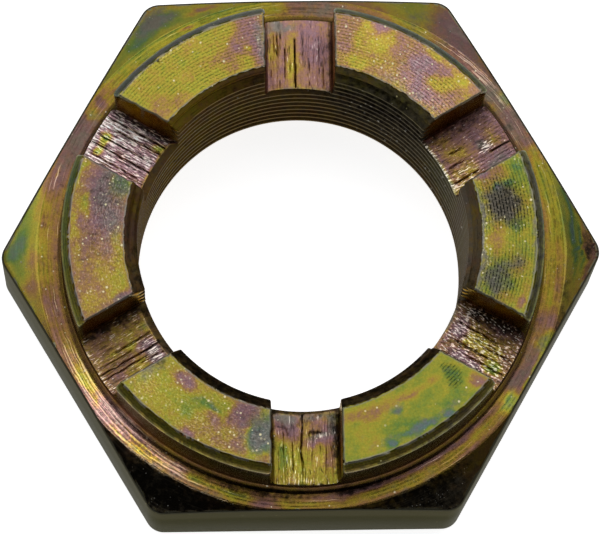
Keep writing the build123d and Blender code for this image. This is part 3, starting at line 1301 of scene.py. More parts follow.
    def _own_rims(self, sheet: bmesh.types.BMesh) -> None:
        """Gives the outer edge of each slot floor the floor's look, not the crown wall's."""
        outside = self.drawing.crown - 0.4 * MM
        rims = [v for v in corners_of(sheet, Finish.MILLED) if v.co.xy.length > outside]
        numbers = np.rint((directions(rims) - FIRST_SLOT) / SECTOR).astype(int) % SLOTS
        for number, slot in enumerate(self.slots):
            own = [rims[place] for place in np.flatnonzero(numbers == number)]
            points = np.array([vertex.co for vertex in own])
            paint(sheet, own, slot.look.over(Places.in_slot(points, slot_angle(number))))

    def tear(self, sheet: bmesh.types.BMesh) -> None:
        """Cuts the slot floors finer and raises the ridges that the cutter tore.

        Args:
            sheet: The joined skin.
        """
        self._own_rims(sheet)
        self._cut_floors(sheet, self.cuts[0], outward=True)
        self._cut_floors(sheet, self.cuts[1], outward=False)
        soot = sheet.verts.layers.float["soot"]
        half, drawing = self.drawing.half_slot, self.drawing
        for vertex in corners_of(sheet, Finish.MILLED):
            angle = math.atan2(vertex.co.y, vertex.co.x)
            number = round((angle - FIRST_SLOT) / SECTOR) % SLOTS
            turn = angle - slot_angle(number)
            radius = math.hypot(vertex.co.x, vertex.co.y)
            offset, along = radius * math.sin(turn), radius * math.cos(turn)
            inside = max(0.0, 1 - (abs(offset) / (half - 0.15 * MM)) ** 8)
            fade = min(1.0, (along - drawing.bore) / (0.5 * MM), 0.35 + (drawing.crown - radius) / MM)
            height, black = self.slots[number].relief(offset, along)
            vertex.co.z += inside * max(fade, 0.15) * height
            # The soot layer takes the painted shade of the valleys and cracks.
            vertex[soot] = max(vertex[soot], inside * black)


# ---------------------------------------------------------------- hexagon


SHOULDER_LOOK = Look(
    film=clouded(
        0.36, (172, 28.6, 5.5, 1.8, 0.64), (187, 29.2, 4.6, 1.8, 0.6), (194, 28, 3, 1, 0.46),
        (120, 28.2, 11, 1.8, 0.64), (8, 28.2, 5.5, 1.4, 0.7), (354, 26.9, 5, 1.2, 0.52),
        (66, 29.4, 3.4, 1.8, 0.6), (84, 26.8, 4, 1.4, 0.2), (75, 27.3, 2.6, 0.5, 0.3),
        (70, 28.6, 2.4, 0.7, 0.5), (61, 27.5, 3, 0.4, 0.46), (54.5, 29.6, 3.4, 1.9, 0.11),
        (49, 27.2, 4, 0.8, 0.14), (40, 26.9, 1.6, 1.4, 0.12), (32, 26.9, 3, 1.4, 0.13),
        (36.8, 27.2, 0.9, 0.5, 0.7), (26.5, 27, 1.2, 1, 0.17), (23.5, 26.8, 0.6, 1.2, 0.44),
        (14, 27.2, 4.4, 1, 0.56), (22, 27.9, 1.2, 0.4, 0.34), (11, 28.3, 3.2, 0.35, 0.62),
        (2, 28.15, 4.4, 0.3, 0.5), (3, 28.75, 4.6, 0.25, 0.86), (2, 29.15, 4.2, 0.18, 0.64),
        (1, 29.55, 3.6, 0.2, 0.9), (358, 30.6, 3.6, 0.8, 0.3), (12, 29.8, 2.6, 0.5, 0.22),
        (357, 26.9, 3, 0.9, 0.42), (352, 27, 1.6, 0.8, 0.35), (349, 28.2, 2.4, 0.6, 0.45),
        (342.5, 27, 1.4, 1.2, 0.15), (338.5, 27.2, 1.4, 0.8, 0.68), (330, 26.6, 3.4, 0.9, 0.14),
        (331, 27.5, 4, 0.3, 0.68), (322.8, 26.8, 1.3, 1, 0.67), (318.5, 27, 1, 0.7, 0.38),
        (312, 27, 3, 0.45, 0.44), (309, 27.4, 2, 0.3, 0.3), (306, 25.9, 7.5, 0.3, 0.16),
        (296, 27, 4, 0.5, 0.46), (300, 26.4, 3, 0.25, 0.3), (284, 26, 2.6, 0.4, 0.14),
        (281, 27, 4, 0.5, 0.46), (274, 26.4, 2.4, 0.3, 0.22), (269, 27, 2.4, 0.4, 0.48),
        (260, 26.9, 1.6, 0.6, 0.18), (254, 26.9, 2.2, 0.6, 0.52), (246, 27.1, 2, 0.4, 0.3),
        (244, 26.4, 1.2, 0.4, 0.54), (240, 26.6, 1.2, 0.7, 0.2), (235, 26.6, 1.4, 0.8, 0.26),
        (226, 26.5, 3.4, 1.2, 0.1), (219, 26.6, 2.6, 1.2, 0.08), (232, 27.1, 2.6, 0.35, 0.5),
        (225, 27.2, 1.8, 0.22, 0.46), (229, 26.3, 2.4, 0.14, 0.46), (214, 26.9, 1.8, 0.2, 0.42),
        (210, 26.3, 2, 0.6, 0.49), (213, 27.1, 1.6, 0.4, 0.16), (202, 27, 3, 0.8, 0.26),
        (206, 25.9, 2, 0.25, 0.46), (193, 26.5, 2.6, 0.8, 0.22), (187, 28.4, 1.4, 1, 0.32),
        (183.5, 27.6, 1.6, 0.8, 0.5), (181, 28.2, 1, 0.6, 0.36), (179.5, 30.4, 1.3, 1, 0.84),
        (177, 29.4, 1.2, 0.7, 0.8), (176, 27.8, 1.6, 0.7, 0.54), (172.5, 26.7, 1.8, 0.7, 0.35),
        (170, 27.9, 1.6, 0.6, 0.46), (163.5, 27.8, 1.6, 0.5, 0.3), (161, 26.7, 2.8, 0.8, 0.16),
        (160, 27.1, 1.2, 0.14, 0.46), (150, 26.6, 3.2, 1.4, 0.13), (145, 26.6, 0.7, 0.9, 0.47),
        (141.5, 26.8, 0.6, 1, 0.12), (138.5, 27, 0.6, 0.7, 0.32), (120, 27.4, 9.5, 0.6, 0.58),
        (121, 29.4, 2.4, 1.1, 0.9), (120.4, 29.8, 1.3, 0.6, 0.99), (126, 28.7, 1.8, 0.4, 0.8),
        (111, 28.6, 1.8, 0.3, 0.3), (115.5, 27.3, 0.8, 0.2, 0.26), (95, 26.8, 1.4, 0.8, 0.52),
        (90, 26.8, 1.2, 1, 0.2),
    ),
    lines=clouded(0.5, (226, 27, 9, 1.6, 1), (250, 26.6, 9, 1, 0.9)),
    # The soot at the crown's root, at 25.6 to 26 mm and most from 250 to 285 degrees, is the crown's
    # painted shadow on the shoulder.
    soot=clouded(
        0.2, (180, 25.6, 60, 0.35, 0.42), (225, 25.8, 9, 0.8, 0), (0, 30.7, 4.6, 1.2, 0.7),
        (12, 30, 3, 1, 0.45), (345, 28, 6, 1, 0.5), (331, 27, 4.4, 1, 0.3), (262, 25.8, 5, 0.6, 0.8),
        (282, 25.8, 4, 0.5, 0.8), (259, 26, 4, 0.6, 0.8), (252, 26, 7, 0.5, 0.6),
        (180, 26.8, 7, 0.8, 0.36), (202, 26.8, 4, 1.2, 0.26), (36, 26.8, 4, 1.4, 0.36),
        (160, 26.8, 5, 1.4, 0.34), (120, 27.5, 8, 0.8, 0.12), (223, 27, 7, 1.2, 0),
        (8, 27.4, 6, 1.2, 0.14),
    ),
    glint=clouded(
        0.35, (223, 26.9, 8, 1.2, 3.2), (208, 26.4, 3, 0.8, 1.6), (48, 27.4, 3.6, 0.5, 1.8),
        (34, 26.8, 3, 1.4, 0.7), (231, 27.8, 9, 0.35, 2.4), (292, 29.2, 5, 0.8, 2.2),
        (241, 31, 1.6, 0.6, 2.6), (294, 29.8, 5, 1.2, 3), (95, 26.6, 1.6, 0.8, 0.7),
        (230, 27.6, 9, 0.3, 3),
    ),
    dull=clouded(
        0.15, (121, 29.6, 2.4, 1.4, 0.75), (56, 28.8, 5, 2.4, 0.4), (84, 26.6, 3.6, 1, 0.6),
        (152, 26.4, 4, 1.4, 0.5), (38, 26.8, 3.4, 1.4, 0.65), (30, 26.8, 2.4, 1.4, 0.5),
        (332, 26.8, 5, 1.2, 0.5), (178, 30, 2, 1.4, 0.3), (240, 30, 9, 2.6, 0.9), (296, 30, 6, 2.6, 0.8),
    ),
    # Shade darkens the crown's root as painted shadow, and below nought it paints highlights, the
    # brightest at 224 to 226 degrees.
    shade=clouded(
        0.03, (205, 26.6, 4, 1, 0.14), (192, 26.6, 4, 1, 0.16), (240, 26.4, 3, 1.2, 0.22),
        (262, 26.2, 4, 1, 0.26), (280, 26.2, 5, 1, 0.26), (95, 26.4, 4, 1, 0.16),
        (330, 26.8, 6, 1.2, 0.16), (345, 28.4, 6, 1, 0.2), (354, 27, 5, 1, 0.14), (56, 29, 5, 2, 0.1),
        (152, 26.6, 4, 1.2, 0.16), (226, 26.6, 10, 1.5, -1.2), (224, 26.7, 6, 1.2, -1.9),
        (322.8, 26.8, 1.2, 1, -0.75), (336, 27.3, 4, 0.5, -0.1), (37, 27.2, 1.2, 0.6, -0.2),
        (3, 28.6, 7, 0.9, 0.22), (120, 28.4, 10, 2, -0.12), (176, 28.8, 6, 2, -0.1),
    ),
)
# Painted dark reflection that blackens the chamfered corners, most on the near side.
CORNER_PAINTED_REFLECTION = clouded(
    0.0, (240, 28.8, 16, 4, 0.92), (293, 28.8, 9.5, 4, 0.82), (310, 29.4, 4, 1.6, 0.4),
    (345, 28.4, 5, 1, 0.45),
)


@dataclass
class Hexagon:
    """Shoulder, chamfered corners, side faces and bearing face.

    Args:
        top_edge: Rounding between the chamfer and the side faces.
        bottom_edge: Rounding round the bearing face.
        rim: Depth of the lighter rim at the top of the side faces, a painted highlight
        along their rounded edge.
        land: How far the bearing face ends outside the countersink.
        shoulder_rows: Radii of the flat shoulder's rows, in millimetres.
        corner_soot: How black the near chamfered corners are painted, a painted dark
        reflection.
    """

    drawing: Drawing
    columns: Columns
    top_edge: float = 0.22 * MM
    bottom_edge: float = 0.3 * MM
    rim: float = 0.15 * MM
    land: float = 0.05 * MM
    shoulder_rows: tuple[float, ...] = (26.0, 26.2, 26.45, 26.7, 26.95, 27.2, 27.4)
    shoulder_look: Look = SHOULDER_LOOK
    corner_soot: Field = CORNER_PAINTED_REFLECTION
    side_look: Look = Look(Field(0.60))

    def _outline(self, run: np.ndarray) -> np.ndarray:
        """Radius at which each line meets the hexagon's side, found step by step."""
        radius = np.full(len(run), self.drawing.across_flats / 2)
        for _ in range(12):
            radius = self.drawing.hex_radius(self.columns.angle(run, radius))
        return radius

    def build(self, skin: Skin) -> None:
        """Lays everything outside and below the crown."""
        run = self.columns.ring
        edge = self._outline(run)
        self._top(skin, run, edge)
        self._side(skin, run, edge)
        self._base(skin, run, edge)

    def _top(self, skin: Skin, run: np.ndarray, edge: np.ndarray) -> None:
        """Fillet at the crown's root, flat shoulder and the chamfer of the corners."""
        drawing = self.drawing
        turn = np.linspace(0, math.pi / 2, 7)[:, None]
        fillet = drawing.crown + drawing.crown_root * (1 - np.cos(turn)) + 0 * edge
        fall = drawing.shoulder + drawing.crown_root * (1 - np.sin(turn)) + 0 * edge
        limit = edge - self.top_edge
        flat = np.minimum(ramp(self.shoulder_rows), limit)
        start = np.minimum(drawing.chamfer_start, limit)
        slope = start + np.linspace(0, 1, 12)[:, None] * (limit - start)
        radius = np.concatenate([fillet, flat, slope])
        height = np.concatenate([fall, drawing.top_height(flat), drawing.top_height(slope)])
        grid = self.columns.place(run, radius, height)
        marks = round_marks(grid, Across.RADIUS)
        split = len(fillet) + len(flat)
        skin.turned(grid[: split + 1], Across.RADIUS, Finish.TURNED, self.shoulder_look)
        places = Places.of(grid[split:])
        look = self.shoulder_look.over(places)
        # The corners' painted dark reflection goes into the soot layer.
        look["soot"] = np.maximum(look["soot"], self.corner_soot.over(places))
        skin.patch(grid[split:], marks[split:], Finish.CHAMFERED, look)

    def _side(self, skin: Skin, run: np.ndarray, edge: np.ndarray) -> None:
        """Rounded upper edge, side faces and lower edge."""
        drawing = self.drawing
        limit = edge - self.top_edge
        way = np.linspace(0, 1, 5)[:, None]
        bend = edge - self.top_edge * (1 - way) ** 2
        corner, rim = drawing.top_height(edge), drawing.top_height(edge) - self.top_edge
        bend_height = (1 - way) ** 2 * drawing.top_height(limit) + 2 * way * (1 - way) * corner
        bend_height = bend_height + way**2 * rim
        flat_height = rim + np.linspace(0, 1, 3)[1:, None] * (self.bottom_edge - rim)
        turn = np.linspace(0, 1, 4)[1:, None]
        foot = edge - self.bottom_edge * turn**2
        foot_height = self.bottom_edge * (1 - turn) ** 2 + 0 * edge
        radius = np.concatenate([bend, edge + 0 * flat_height, foot])
        height = np.concatenate([bend_height, flat_height, foot_height])
        grid = self.columns.place(run, radius, height)
        # A painted highlight along the rounded top edge of the side faces.
        rim_share = np.clip(1 - (rim - grid[..., 2]) / self.rim, 0, 1)
        skin.turned(grid, Across.HEIGHT, Finish.FORGED, self.side_look, rim_share)

    def _base(self, skin: Skin, run: np.ndarray, edge: np.ndarray) -> None:
        """Bearing face and the narrow edge where the bore opens."""
        drawing = self.drawing
        ground = edge - self.bottom_edge
        lip = drawing.countersink + self.land
        radius = ground + np.linspace(0, 1, 3)[:, None] * (lip - ground)
        grid = self.columns.place(run, radius, 0 * radius)
        skin.turned(grid, Across.RADIUS, Finish.TURNED, self.side_look)
        below = drawing.bore_radius(0 * edge, drawing.lip + 0 * edge)
        edge_ring = self.columns.place(run, below, drawing.lip + 0 * below)
        mouth = np.stack([grid[-1], edge_ring])
        skin.turned(mouth, Across.HEIGHT, Finish.BEVELLED, self.side_look)


# ---------------------------------------------------------------- node graphs


def colour(code: str) -> tuple[float, float, float, float]:
    """Linear colour from a web code such as a1b2c3."""
    parts = [int(code[i : i + 2], 16) / 255 for i in (0, 2, 4)]
    linear = [c / 12.92 if c <= 0.04045 else ((c + 0.055) / 1.055) ** 2.4 for c in parts]
    return (*linear, 1.0)


@dataclass(frozen=True)
class Value:
    """A number, place or colour in a node tree. A sum with it adds a Math node."""

    graph: "Graph"
    socket: bpy.types.NodeSocket

    def __add__(self, other: object) -> "Value":
        """Sum."""
        return self.graph.math("ADD", self, other)

    def __sub__(self, other: object) -> "Value":
        """Difference."""
        return self.graph.math("SUBTRACT", self, other)

    def __rsub__(self, other: object) -> "Value":
        """Difference from a plain number."""
        return self.graph.math("SUBTRACT", other, self)

    def __mul__(self, other: object) -> "Value":
        """Product."""
        return self.graph.math("MULTIPLY", self, other)

    def __truediv__(self, other: object) -> "Value":
        """Quotient."""
        return self.graph.math("DIVIDE", self, other)

    def __rtruediv__(self, other: object) -> "Value":
        """Quotient of a plain number."""
        return self.graph.math("DIVIDE", other, self)


@dataclass
class Graph:
    """Short way to add and wire the nodes of one tree."""

    tree: bpy.types.NodeTree

    def add(self, kind: str, settings: dict | None = None, **inputs: object) -> bpy.types.Node:
        """Adds a node.

        Args:
            kind: Node class without its ShaderNode prefix.
            settings: Properties of the node.
            **inputs: Numbers, colours or values, by input name with underscores for spaces.

        Returns:
            The new node.
        """
        node = self.tree.nodes.new("ShaderNode" + kind)
        for name, value in (settings or {}).items():
            setattr(node, name, value)
        for name, value in inputs.items():
            socket = next(s for s in node.inputs if s.name.replace(" ", "_") == name and s.enabled)
            self.feed(socket, value)
        return node

    def value(
        self, kind: str, output: str | int, settings: dict | None = None, **inputs: object
    ) -> Value:
        """Adds a node and returns one of its outputs."""
        return Value(self, self.add(kind, settings, **inputs).outputs[output])

    def feed(self, socket: bpy.types.NodeSocket, value: object) -> None:
        """Wires a value to a socket, or sets the socket to a number or colour."""
        if isinstance(value, Value):
            self.tree.links.new(value.socket, socket)
        else:
            socket.default_value = value

    def math(self, operation: str, *values: object) -> Value:
        """Adds a Math node and returns its result."""
        node = self.add("Math", {"operation": operation})
        for socket, value in zip(node.inputs, values):
            self.feed(socket, value)
        return Value(self, node.outputs[0])

    def spread(
        self, value: Value, low: float, high: float, to_low: object = 0.0, to_high: float = 1.0
    ) -> Value:
        """Maps a span of values smoothly onto another."""
        return self.value(
            "MapRange", 0, {"interpolation_type": "SMOOTHSTEP"},
            Value=value, From_Min=low, From_Max=high, To_Min=to_low, To_Max=to_high,
        )

    def blend(self, share: object, below: object, above: object, mode: str = "MIX") -> Value:
        """Mixes two colours."""
        node = self.add("Mix", {"data_type": "RGBA", "blend_type": mode})
        self.feed(node.inputs[0], share)
        self.feed(node.inputs[6], below)
        self.feed(node.inputs[7], above)
        return Value(self, node.outputs[2])

    def noise(self, place: Value, scale: object, detail: float, rough: float = 0.5) -> Value:
        """Adds a noise texture and returns its value."""
        return self.value(
            "TexNoise", 0, Vector=place, Scale=scale, Detail=detail, Roughness=rough
        )

    def split(self, place: Value) -> list[Value]:
        """The three parts of a place or colour."""
        return [Value(self, part) for part in self.add("SeparateXYZ", Vector=place).outputs]

    def marks(self, width: Value, length: Value) -> tuple[Value, Value]:
        """Places across and along the tool marks, counted in a width and a length."""
        across, along, _ = self.split(self.value("UVMap", 0, {"uv_map": MARKS_LAYER}))
        return across / width, along / length

    def lane(self, across: Value, along: Value, layer: float = 0.0) -> Value:
        """One place from places across and along the tool marks."""
        return self.value("CombineXYZ", 0, X=across, Y=along, Z=layer)

    def place(self, tree: bpy.types.NodeTree, **inputs: object) -> dict[str, Value]:
        """Places a node group with its values, and returns what it puts out, by name."""
        node = self.tree.nodes.new("ShaderNodeGroup")
        node.node_tree = tree
        for name, value in inputs.items():
            self.feed(node.inputs[name.replace("_", " ")], value)
        return {output.name: Value(self, output) for output in node.outputs}


def open_group(name: str, inputs: dict[str, float], outputs: tuple[str, ...]) -> tuple[Graph, dict]:
    """Starts a node group.

    Args:
        name: Name of the group.
        inputs: Number inputs with their defaults.
        outputs: Names of the outputs; one called Color holds a colour.

    Returns:
        The group's graph, and its inputs by name.
    """
    tree = bpy.data.node_groups.new(name, "ShaderNodeTree")
    for label, value in inputs.items():
        socket = tree.interface.new_socket(label, in_out="INPUT", socket_type="NodeSocketFloat")
        socket.default_value = value
    for label in outputs:
        kind = "NodeSocketColor" if label == "Color" else "NodeSocketFloat"
        tree.interface.new_socket(label, in_out="OUTPUT", socket_type=kind)
    graph = Graph(tree)
    source = tree.nodes.new("NodeGroupInput")
    return graph, {label: Value(graph, source.outputs[label]) for label in inputs}


def close_group(graph: Graph, results: dict[str, Value]) -> bpy.types.NodeTree:
    """Wires a group's results to its outputs."""
    sink = graph.tree.nodes.new("NodeGroupOutput")
    for label, value in results.items():
        graph.feed(sink.inputs[label], value)
    return graph.tree


@dataclass(frozen=True)
class PlatingColours:
    """Interference colours of the chromate film, from thin to thick."""

    stops: tuple[tuple[float, str], ...] = (
        (0.00, "c4b4ae"), (0.06, "9a7f82"), (0.13, "8a6a72"), (0.22, "96706a"),
        (0.33, "9c784e"), (0.42, "a88f3d"), (0.52, "a39c39"), (0.62, "87913a"),
        (0.72, "68843f"), (0.82, "5b7a66"), (0.91, "5f7678"), (1.00, "6b6568"),
    )

    def group(self) -> bpy.types.NodeTree:
        """Film thickness to colour, with the clouding of a dipped finish."""
        graph, given = open_group(
            "plating_colour",
            {
                "Film": 0.5, "Clouding": 0.2, "Cloud Size": 2.5 * MM, "Fringe": 0.0, "Dirt": 0.0,
                "Soot": 0.0, "Dull": 0.0, "Shade": 0.0, "Grit": 0.2,
            },
            ("Color",),
        )
        place = graph.value("TexCoord", "Object")
        scale = 1.0 / given["Cloud Size"]
        broad = graph.noise(place, scale, 5.0, 0.62) - 0.5
        close = graph.noise(place, scale * 5.0, 3.0, 0.6) - 0.5
        film = given["Film"] + (broad + close * 0.6) * given["Clouding"] + given["Fringe"]
        grit = graph.noise(place, 4600.0, 2.0, 0.6) - 0.5
        band = graph.add("ValToRGB", Fac=grit * 0.3 * given["Grit"] + film)
        points = band.color_ramp.elements
        while len(points) < len(self.stops):
            points.new(1.0)
        for point, (place_on, code) in zip(points, self.stops):
            point.position, point.color = place_on, colour(code)
        mist = graph.noise(place, 1100.0, 4.0, 0.65) - 0.5
        pale = graph.spread(mist * 1.3 + given["Dull"], 0.15, 0.85, 0.0, 0.92)
        faded = graph.blend(pale, Value(graph, band.outputs[0]), colour("77736b"))
        patch = graph.noise(place, 1500.0, 3.0, 0.65) - 0.5
        # Darkens towards near black by the soot layer: real blackening, painted shade and painted dark
        # reflections.
        black = graph.spread(patch * 1.4 + given["Soot"], 0.3, 0.95, 0.0, 0.92)
        # Painted shade in the grooves and between the flecks blackens it too.
        black = graph.math("MAXIMUM", black, given["Dirt"])
        grey = graph.blend(black, faded, colour("141311"))
        # Scales the colour by the shade layer: partly the finish's tone, partly painted shade, and
        # lighter where it is below nought as a painted highlight.
        level = (grit * 5.0 * given["Grit"] + 1.0) * (1.0 - given["Shade"])
        lit = graph.value("VectorMath", 0, {"operation": "SCALE"}, Vector=grey, Scale=level)
        return close_group(graph, {"Color": lit})


def tool_marks() -> bpy.types.NodeTree:
    """Fine parallel grooves left by a cutting edge, clear in places and gone in others."""
    graph, given = open_group(
        "tool_marks",
        {"Pitch": 0.34 * MM, "Wander": 0.15, "Cover": 0.5, "Grain Length": 3.0 * MM},
        ("Groove", "Swing", "Streak"),
    )
    across, along = graph.marks(given["Pitch"], given["Grain Length"])
    drift = graph.noise(graph.lane(across * 0.7, along), 1.0, 3.0, 0.6) - 0.5
    wave = graph.math("SINE", (across + drift * given["Wander"]) * math.tau)
    swing = (wave + 1.0) * 0.5
    patch = graph.value("TexCoord", "Object")
    clear = graph.noise(patch, 330.0, 2.0) - (1.0 - given["Cover"])
    broken = graph.spread(graph.noise(patch, 4200.0, 1.0), 0.3, 0.62, 0.25, 1.0)
    shown = graph.spread(clear, -0.14, 0.2, 0.06, 1.0) * broken
    streak = graph.noise(graph.lane(across * 0.3, along * 0.2), 1.0, 4.0, 0.65) - 0.5
    groove = graph.math("POWER", swing, 1.8) * shown
    return close_group(
        graph, {"Streak": streak, "Groove": groove, "Swing": (swing - 0.5) * shown}
    )


def streaks() -> bpy.types.NodeTree:
    """Bright flecks as painted highlights, and thin dark lines with painted shade in the
    valleys between them, drawn out along the tool's path.
    """
    graph, given = open_group(
        "streaks", {"Width": 0.14 * MM, "Length": 1.4 * MM, "Share": 0.3}, ("Bright", "Dark")
    )
    across, along = graph.marks(given["Width"], given["Length"])
    share = given["Share"]
    place = graph.value("TexCoord", "Object")
    across = graph.noise(place, 700.0, 2.0) * 2.2 + across
    level = graph.math("MINIMUM", share, 1.2) * -0.17 + 0.70
    above = graph.noise(graph.lane(across, along), 1.0, 2.0, 0.6) - level
    bright = graph.spread(above, 0.0, 0.09)
    # Painted shade in the valleys between the flecks.
    valley = graph.spread(above, -0.13, -0.04, share * 0.6, 0.0)
    vein = graph.noise(graph.lane(across * 0.30, along * 0.22, 7.0), 1.0, 2.5, 0.6) - 0.5
    line = graph.spread(graph.math("ABSOLUTE", vein), 0.004, 0.028, 1.0, 0.0)
    kept = graph.spread(graph.noise(place, 900.0, 2.0), 0.40, 0.58)
    dark = graph.math("MAXIMUM", line * kept, graph.math("MINIMUM", valley, 0.8))
    return close_group(graph, {"Bright": bright, "Dark": dark})


def specks() -> bpy.types.NodeTree:
    """Scattered bright pin pricks: painted glints where a raised grain of the plating
    catches the light.
    """
    graph, given = open_group(
        "specks", {"Spacing": 0.8 * MM, "Size": 0.1, "Share": 0.3}, ("Mask", "Grain")
    )
    place = graph.value("TexCoord", "Object")
    scale = 1.0 / given["Spacing"]
    cells = graph.add("TexVoronoi", Vector=place, Scale=scale)
    pick, size, strength = graph.split(Value(graph, cells.outputs["Color"]))
    reach = (size * 0.8 + 0.5) * given["Size"]
    dot = graph.spread(Value(graph, cells.outputs["Distance"]) / reach, 0.3, 1.0, 1.0, 0.0)
    flock = graph.spread(graph.noise(place, 600.0, 2.0), 0.35, 0.65, 0.4, 1.6)
    chosen = graph.math("LESS_THAN", pick, given["Share"] * flock)
    grain = graph.noise(place, scale * 5.0, 3.0, 0.7)
    return close_group(graph, {"Mask": dot * chosen * (strength * 0.7 + 0.3), "Grain": grain})


@dataclass
class Effects:
    """The shared node groups."""

    plating: bpy.types.NodeTree
    marks: bpy.types.NodeTree
    streaks: bpy.types.NodeTree
    specks: bpy.types.NodeTree

    @classmethod
    def build(cls) -> "Effects":
        """Makes each group once."""
        return cls(PlatingColours().group(), tool_marks(), streaks(), specks())


# ---------------------------------------------------------------- finishes


@dataclass(frozen=True)
class PlatedSurface:
    """Yellow zinc plate over one kind of machined surface.

    Args:
        name: Name of the material.
        shade: Colour that all of the plating is darkened by.
        clouding: How far the film wanders.
        cloud_size: Size of the clouds.
        pitch: Spacing of the tool marks.
        wander: How far they stray, over their spacing.
        depth: Depth of the tool marks.
        cover: Share of the surface on which the marks are clear.
        grain_length: Length over which a mark changes.
        fringe: Change of film across a mark.
        streak: Change of film from lane to lane of marks.
        groove_shade: Darkening in the bottom of a mark, as painted shade in the groove.
        grit: How far the finest grains differ in colour and lightness.
        grain: Height of the fine grain.
        speck_spacing: Distance between the grains that may shine.
        speck_size: Their size, over that distance.
        speck_share: Share of them that shine.
        speck_colour: Colour of a shining grain, a painted glint.
        rim_colour: Colour to which the edges are worn on the top faces, and lightened
            along the side faces' rounded top edge as a painted highlight.
        rim_share: How far that colour covers the edges.
        roughness: Least and most roughness.
        fleck: Width and length of the bright flecks.
        fleck_highlight: How far the flecks are brightened, as a painted highlight.
        torn: How dark the thin torn lines are, with painted shade in the valleys between
            the flecks.
        edge_tint: Colour of the reflection at a grazing angle.
        metal: Share of the light that the metal under the film sends back.
        ridge: How much lighter the ridges between the tool marks are, a painted highlight.
    """

    name: str
    shade: str = "ffffff"
    clouding: float = 0.3
    cloud_size: float = 2.5 * MM
    pitch: float = 0.337 * MM
    wander: float = 0.6
    depth: float = 5e-6
    cover: float = 0.5
    grain_length: float = 3.0 * MM
    fringe: float = 0.06
    streak: float = 0.1
    groove_shade: float = 0.35
    grit: float = 0.25
    grain: float = 5e-6
    speck_spacing: float = 0.5 * MM
    speck_size: float = 0.22
    speck_share: float = 0.16
    speck_colour: str = "d2c98c"
    rim_colour: str = "7d7a72"
    rim_share: float = 0.75
    roughness: tuple[float, float] = (0.32, 0.46)
    fleck: tuple[float, float] = (0.14 * MM, 1.4 * MM)
    fleck_highlight: float = 0.0
    torn: float = 0.0
    edge_tint: str = "ffffff"
    metal: float = 1.0
    ridge: float = 0.0

    def material(self, effects: Effects) -> bpy.types.Material:
        """Builds the material.

        Args:
            effects: The shared node groups.

        Returns:
            The finished material.
        """
        made = bpy.data.materials.new(self.name)
        made.use_nodes = True
        graph = Graph(made.node_tree)
        film, lines, soot, glint, dull, shade, rim = (
            graph.value("Attribute", "Fac", {"attribute_name": name}) for name in LAYERS
        )
        marks = graph.place(
            effects.marks, Pitch=self.pitch, Wander=self.wander,
            Cover=lines + (self.cover - 0.5), Grain_Length=self.grain_length,
        )
        dots = graph.place(
            effects.specks, Spacing=self.speck_spacing, Size=self.speck_size,
            Share=glint * self.speck_share,
        )
        flecks = graph.place(
            effects.streaks, Width=self.fleck[0], Length=self.fleck[1], Share=glint
        )
        # Painted shade in the bottom of the tool marks' grooves.
        groove_shade = marks["Groove"] * (lines * self.groove_shade + 0.4 * self.groove_shade)
        plating = graph.place(
            effects.plating, Film=film, Clouding=self.clouding, Cloud_Size=self.cloud_size,
            Fringe=marks["Streak"] * self.streak + marks["Swing"] * self.fringe,
            Grit=glint * (0.45 * self.grit) + 0.25 * self.grit,
            Dirt=graph.math("MAXIMUM", groove_shade, flecks["Dark"] * self.torn),
            Shade=shade, Soot=soot, Dull=dull,
        )
        # Painted highlight on the bright flecks.
        bright = flecks["Bright"] * self.fleck_highlight
        # Painted highlight on the ridges between the tool marks.
        lift = bright * 1.3 + (marks["Swing"] * (lines * self.ridge) + 1.0)
        lit = graph.value(
            "VectorMath", 0, {"operation": "SCALE"}, Vector=plating["Color"], Scale=lift
        )
        # Painted highlight: bright flecks are drawn towards pale near-white.
        lit = graph.blend(bright * 0.4, lit, colour("fff4e6"))
        tone = graph.blend(1.0, lit, colour(self.shade), "MULTIPLY")
        worn = graph.spread(dots["Grain"] * 1.1 + (rim - 0.55), 0.30, 0.62, 0.0, self.rim_share)
        edged = graph.blend(worn, tone, colour(self.rim_colour))
        dotted = graph.blend(dots["Mask"], edged, colour(self.speck_colour))
        rough = graph.spread(dots["Grain"], 0.3, 0.7, *self.roughness)
        height = marks["Groove"] * -self.depth + dots["Grain"] * self.grain
        shader = made.node_tree.nodes["Principled BSDF"]
        graph.feed(shader.inputs["Base Color"], dotted)
        graph.feed(shader.inputs["Metallic"], dots["Mask"] * -0.6 + self.metal)
        graph.feed(shader.inputs["Roughness"], rough)
        bump = graph.value("Bump", 0, Height=height, Distance=1.0, Strength=1.0)
        graph.feed(shader.inputs["Normal"], bump)
        shader.inputs["Specular Tint"].default_value = colour(self.edge_tint)
        return made


